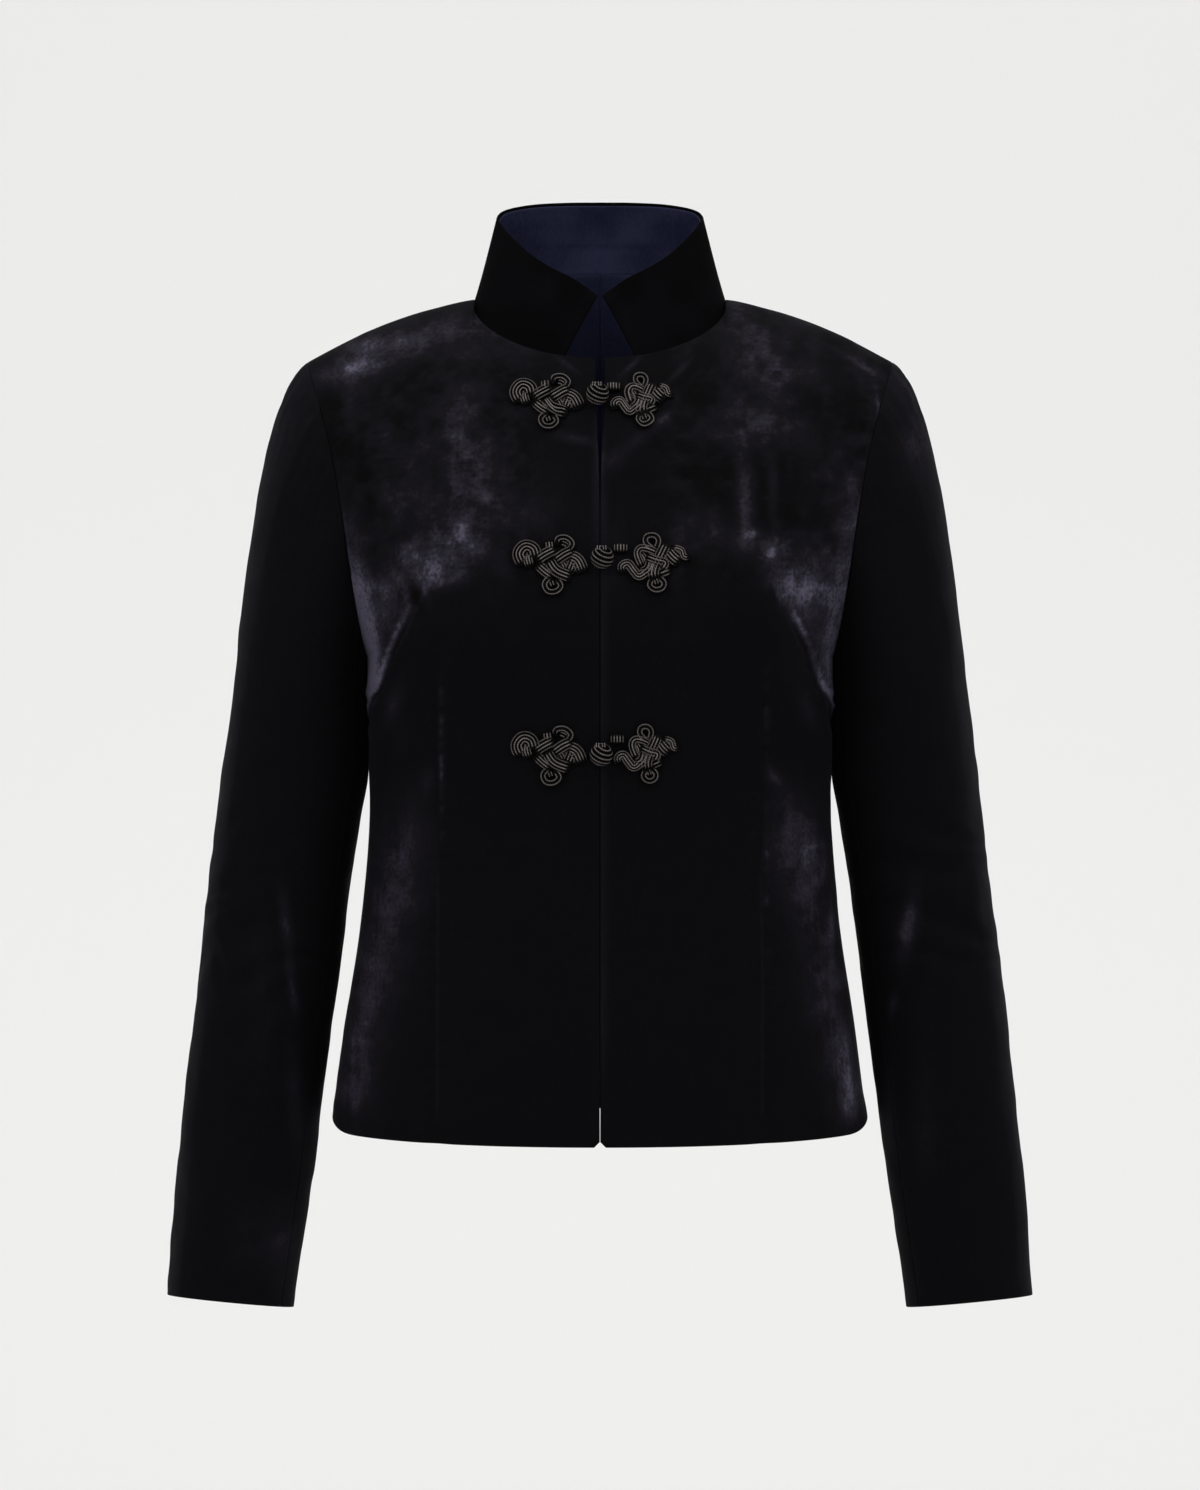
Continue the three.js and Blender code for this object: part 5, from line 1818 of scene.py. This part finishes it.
    def build(self, material: bpy.types.Material) -> None:
        """Builds three frogs of three pieces each.

        Args:
            material: what the pieces look like.
        """
        for frog in FROG_PLACES:
            sides = (("right", RIGHT_PASSES, 1.0), ("left", LEFT_PASSES, frog.reach))
            for name, passes, reach in sides:
                tubes = Tubes()
                for row in passes:
                    route = np.array(row.route) * self.scale * np.array([reach, frog.tall])
                    route = route + np.array([frog.x, frog.z])
                    self.lay(tubes, route, row.wide * self.scale * self.fullness, row.high)
                tubes.build(material, f"frog_{frog.name}_{name}")
            tubes = Tubes()
            self.ball(tubes, frog.x + frog.knot_x, frog.z + frog.knot_z)
            tubes.build(material, f"frog_{frog.name}_knot")


@dataclass(frozen=True)
class Lamp:
    """A square soft light: its place and aim in metres, its side and its power in watts."""

    name: str
    place: tuple[float, float, float]
    aim: tuple[float, float, float]
    size: float
    power: float


LAMPS = (
    Lamp("key_left", (-1.6, -1.6, 1.5), (0, 0, -0.25), 1.2, 22),
    Lamp("key_right", (1.7, -1.5, 1.4), (0, 0, -0.25), 1.2, 18),
    Lamp("top", (0, -0.4, 2.0), (0, 0, -0.2), 1.4, 18),
)


@dataclass(frozen=True)
class Studio:
    """Pale floor and sweep, soft light, and the camera at the photo's angle."""

    distance: float = 2600
    aim_z: float = -291
    view_height: float = 968.5
    sensor: float = 36
    floor_z: float = -1500
    wall_y: float = 4600
    bend: float = 1800
    floor_colour: tuple[float, float, float] = (0.845, 0.845, 0.84)
    world: float = 0.93

    def camera(self) -> None:
        """Level camera in front; its view at the origin is the photo's height in millimetres."""
        data = bpy.data.cameras.new("camera")
        data.sensor_fit = "VERTICAL"
        data.sensor_height = self.sensor
        data.lens = self.sensor * self.distance / self.view_height
        data.clip_end = 100
        obj = bpy.data.objects.new("camera", data)
        obj.location = (0, -self.distance * MM, self.aim_z * MM)
        obj.rotation_euler = (math.pi / 2, 0, 0)
        bpy.context.scene.collection.objects.link(obj)
        bpy.context.scene.camera = obj

    def sweep(self) -> None:
        """Floor that bends up into a wall behind, as one smooth sheet."""
        mat, n = blank_material("pale_sweep")
        n.finish(Base_Color=(*self.floor_colour, 1), Roughness=1.0, Specular_IOR_Level=0.0)
        turn = np.linspace(0, np.pi / 2, 40)
        y = np.concatenate([[-9000.0], self.wall_y - self.bend + self.bend * np.sin(turn), [self.wall_y]])
        z = np.concatenate([[0.0], self.bend * (1 - np.cos(turn)), [9000.0]]) + self.floor_z
        x = np.array([-12000.0, 12000.0])
        grid = np.stack(np.broadcast_arrays(x[None, :], y[:, None], z[:, None]), axis=-1)
        rows = len(y)
        index = np.arange(rows * 2).reshape(rows, 2)
        quads = np.stack([index[:-1, 0], index[:-1, 1], index[1:, 1], index[1:, 0]], axis=1)
        obj = mesh_object("pale_sweep", grid.reshape(-1, 3), quads)
        obj.data.materials.append(mat)

    def light(self, lamp: Lamp) -> None:
        """Places one lamp and turns it to its aim.

        Args:
            lamp: the lamp.
        """
        data = bpy.data.lights.new(lamp.name, "AREA")
        data.size = lamp.size
        data.energy = lamp.power
        obj = bpy.data.objects.new(lamp.name, data)
        obj.location = lamp.place
        obj.rotation_euler = (Vector(lamp.aim) - Vector(lamp.place)).to_track_quat("-Z", "Y").to_euler()
        bpy.context.scene.collection.objects.link(obj)

    def build(self) -> None:
        """Camera, sweep, world and lights."""
        self.camera()
        self.sweep()
        scene = bpy.context.scene
        scene.view_settings.view_transform = "Standard"
        world = bpy.data.worlds.new("studio")
        world.use_nodes = True
        scene.world = world
        n = Nodes(world.node_tree)
        glow = n.add("ShaderNodeBackground", Color=(1, 1, 1, 1), Strength=self.world)
        n.add("ShaderNodeOutputWorld", Surface=glow.outputs[0])
        for lamp in LAMPS:
            self.light(lamp)


def main() -> None:
    """Builds the studio and then each sub-assembly."""
    logging.basicConfig(level=logging.INFO, format="%(name)s %(message)s")
    Studio().build()
    pile = pile_group()
    velvet = VelvetFinish("velvet").material(pile)
    satin = SatinFinish("satin_lining").material()
    fronts = Fronts()
    grids = {side: fronts.build(side, velvet) for side in Side}
    for side in Side:
        Sleeves().build(side, velvet)
        BackLining().build(fronts, side, satin)
    Back().build(fronts, velvet)
    Collar().build(VelvetFinish("velvet_collar", sheen=0.002, gloss=0.01).material(pile), satin)
    Frogs(FrontMap(grids)).build(CordFinish("braid_cord").material())


if __name__ == "__main__":
    main()
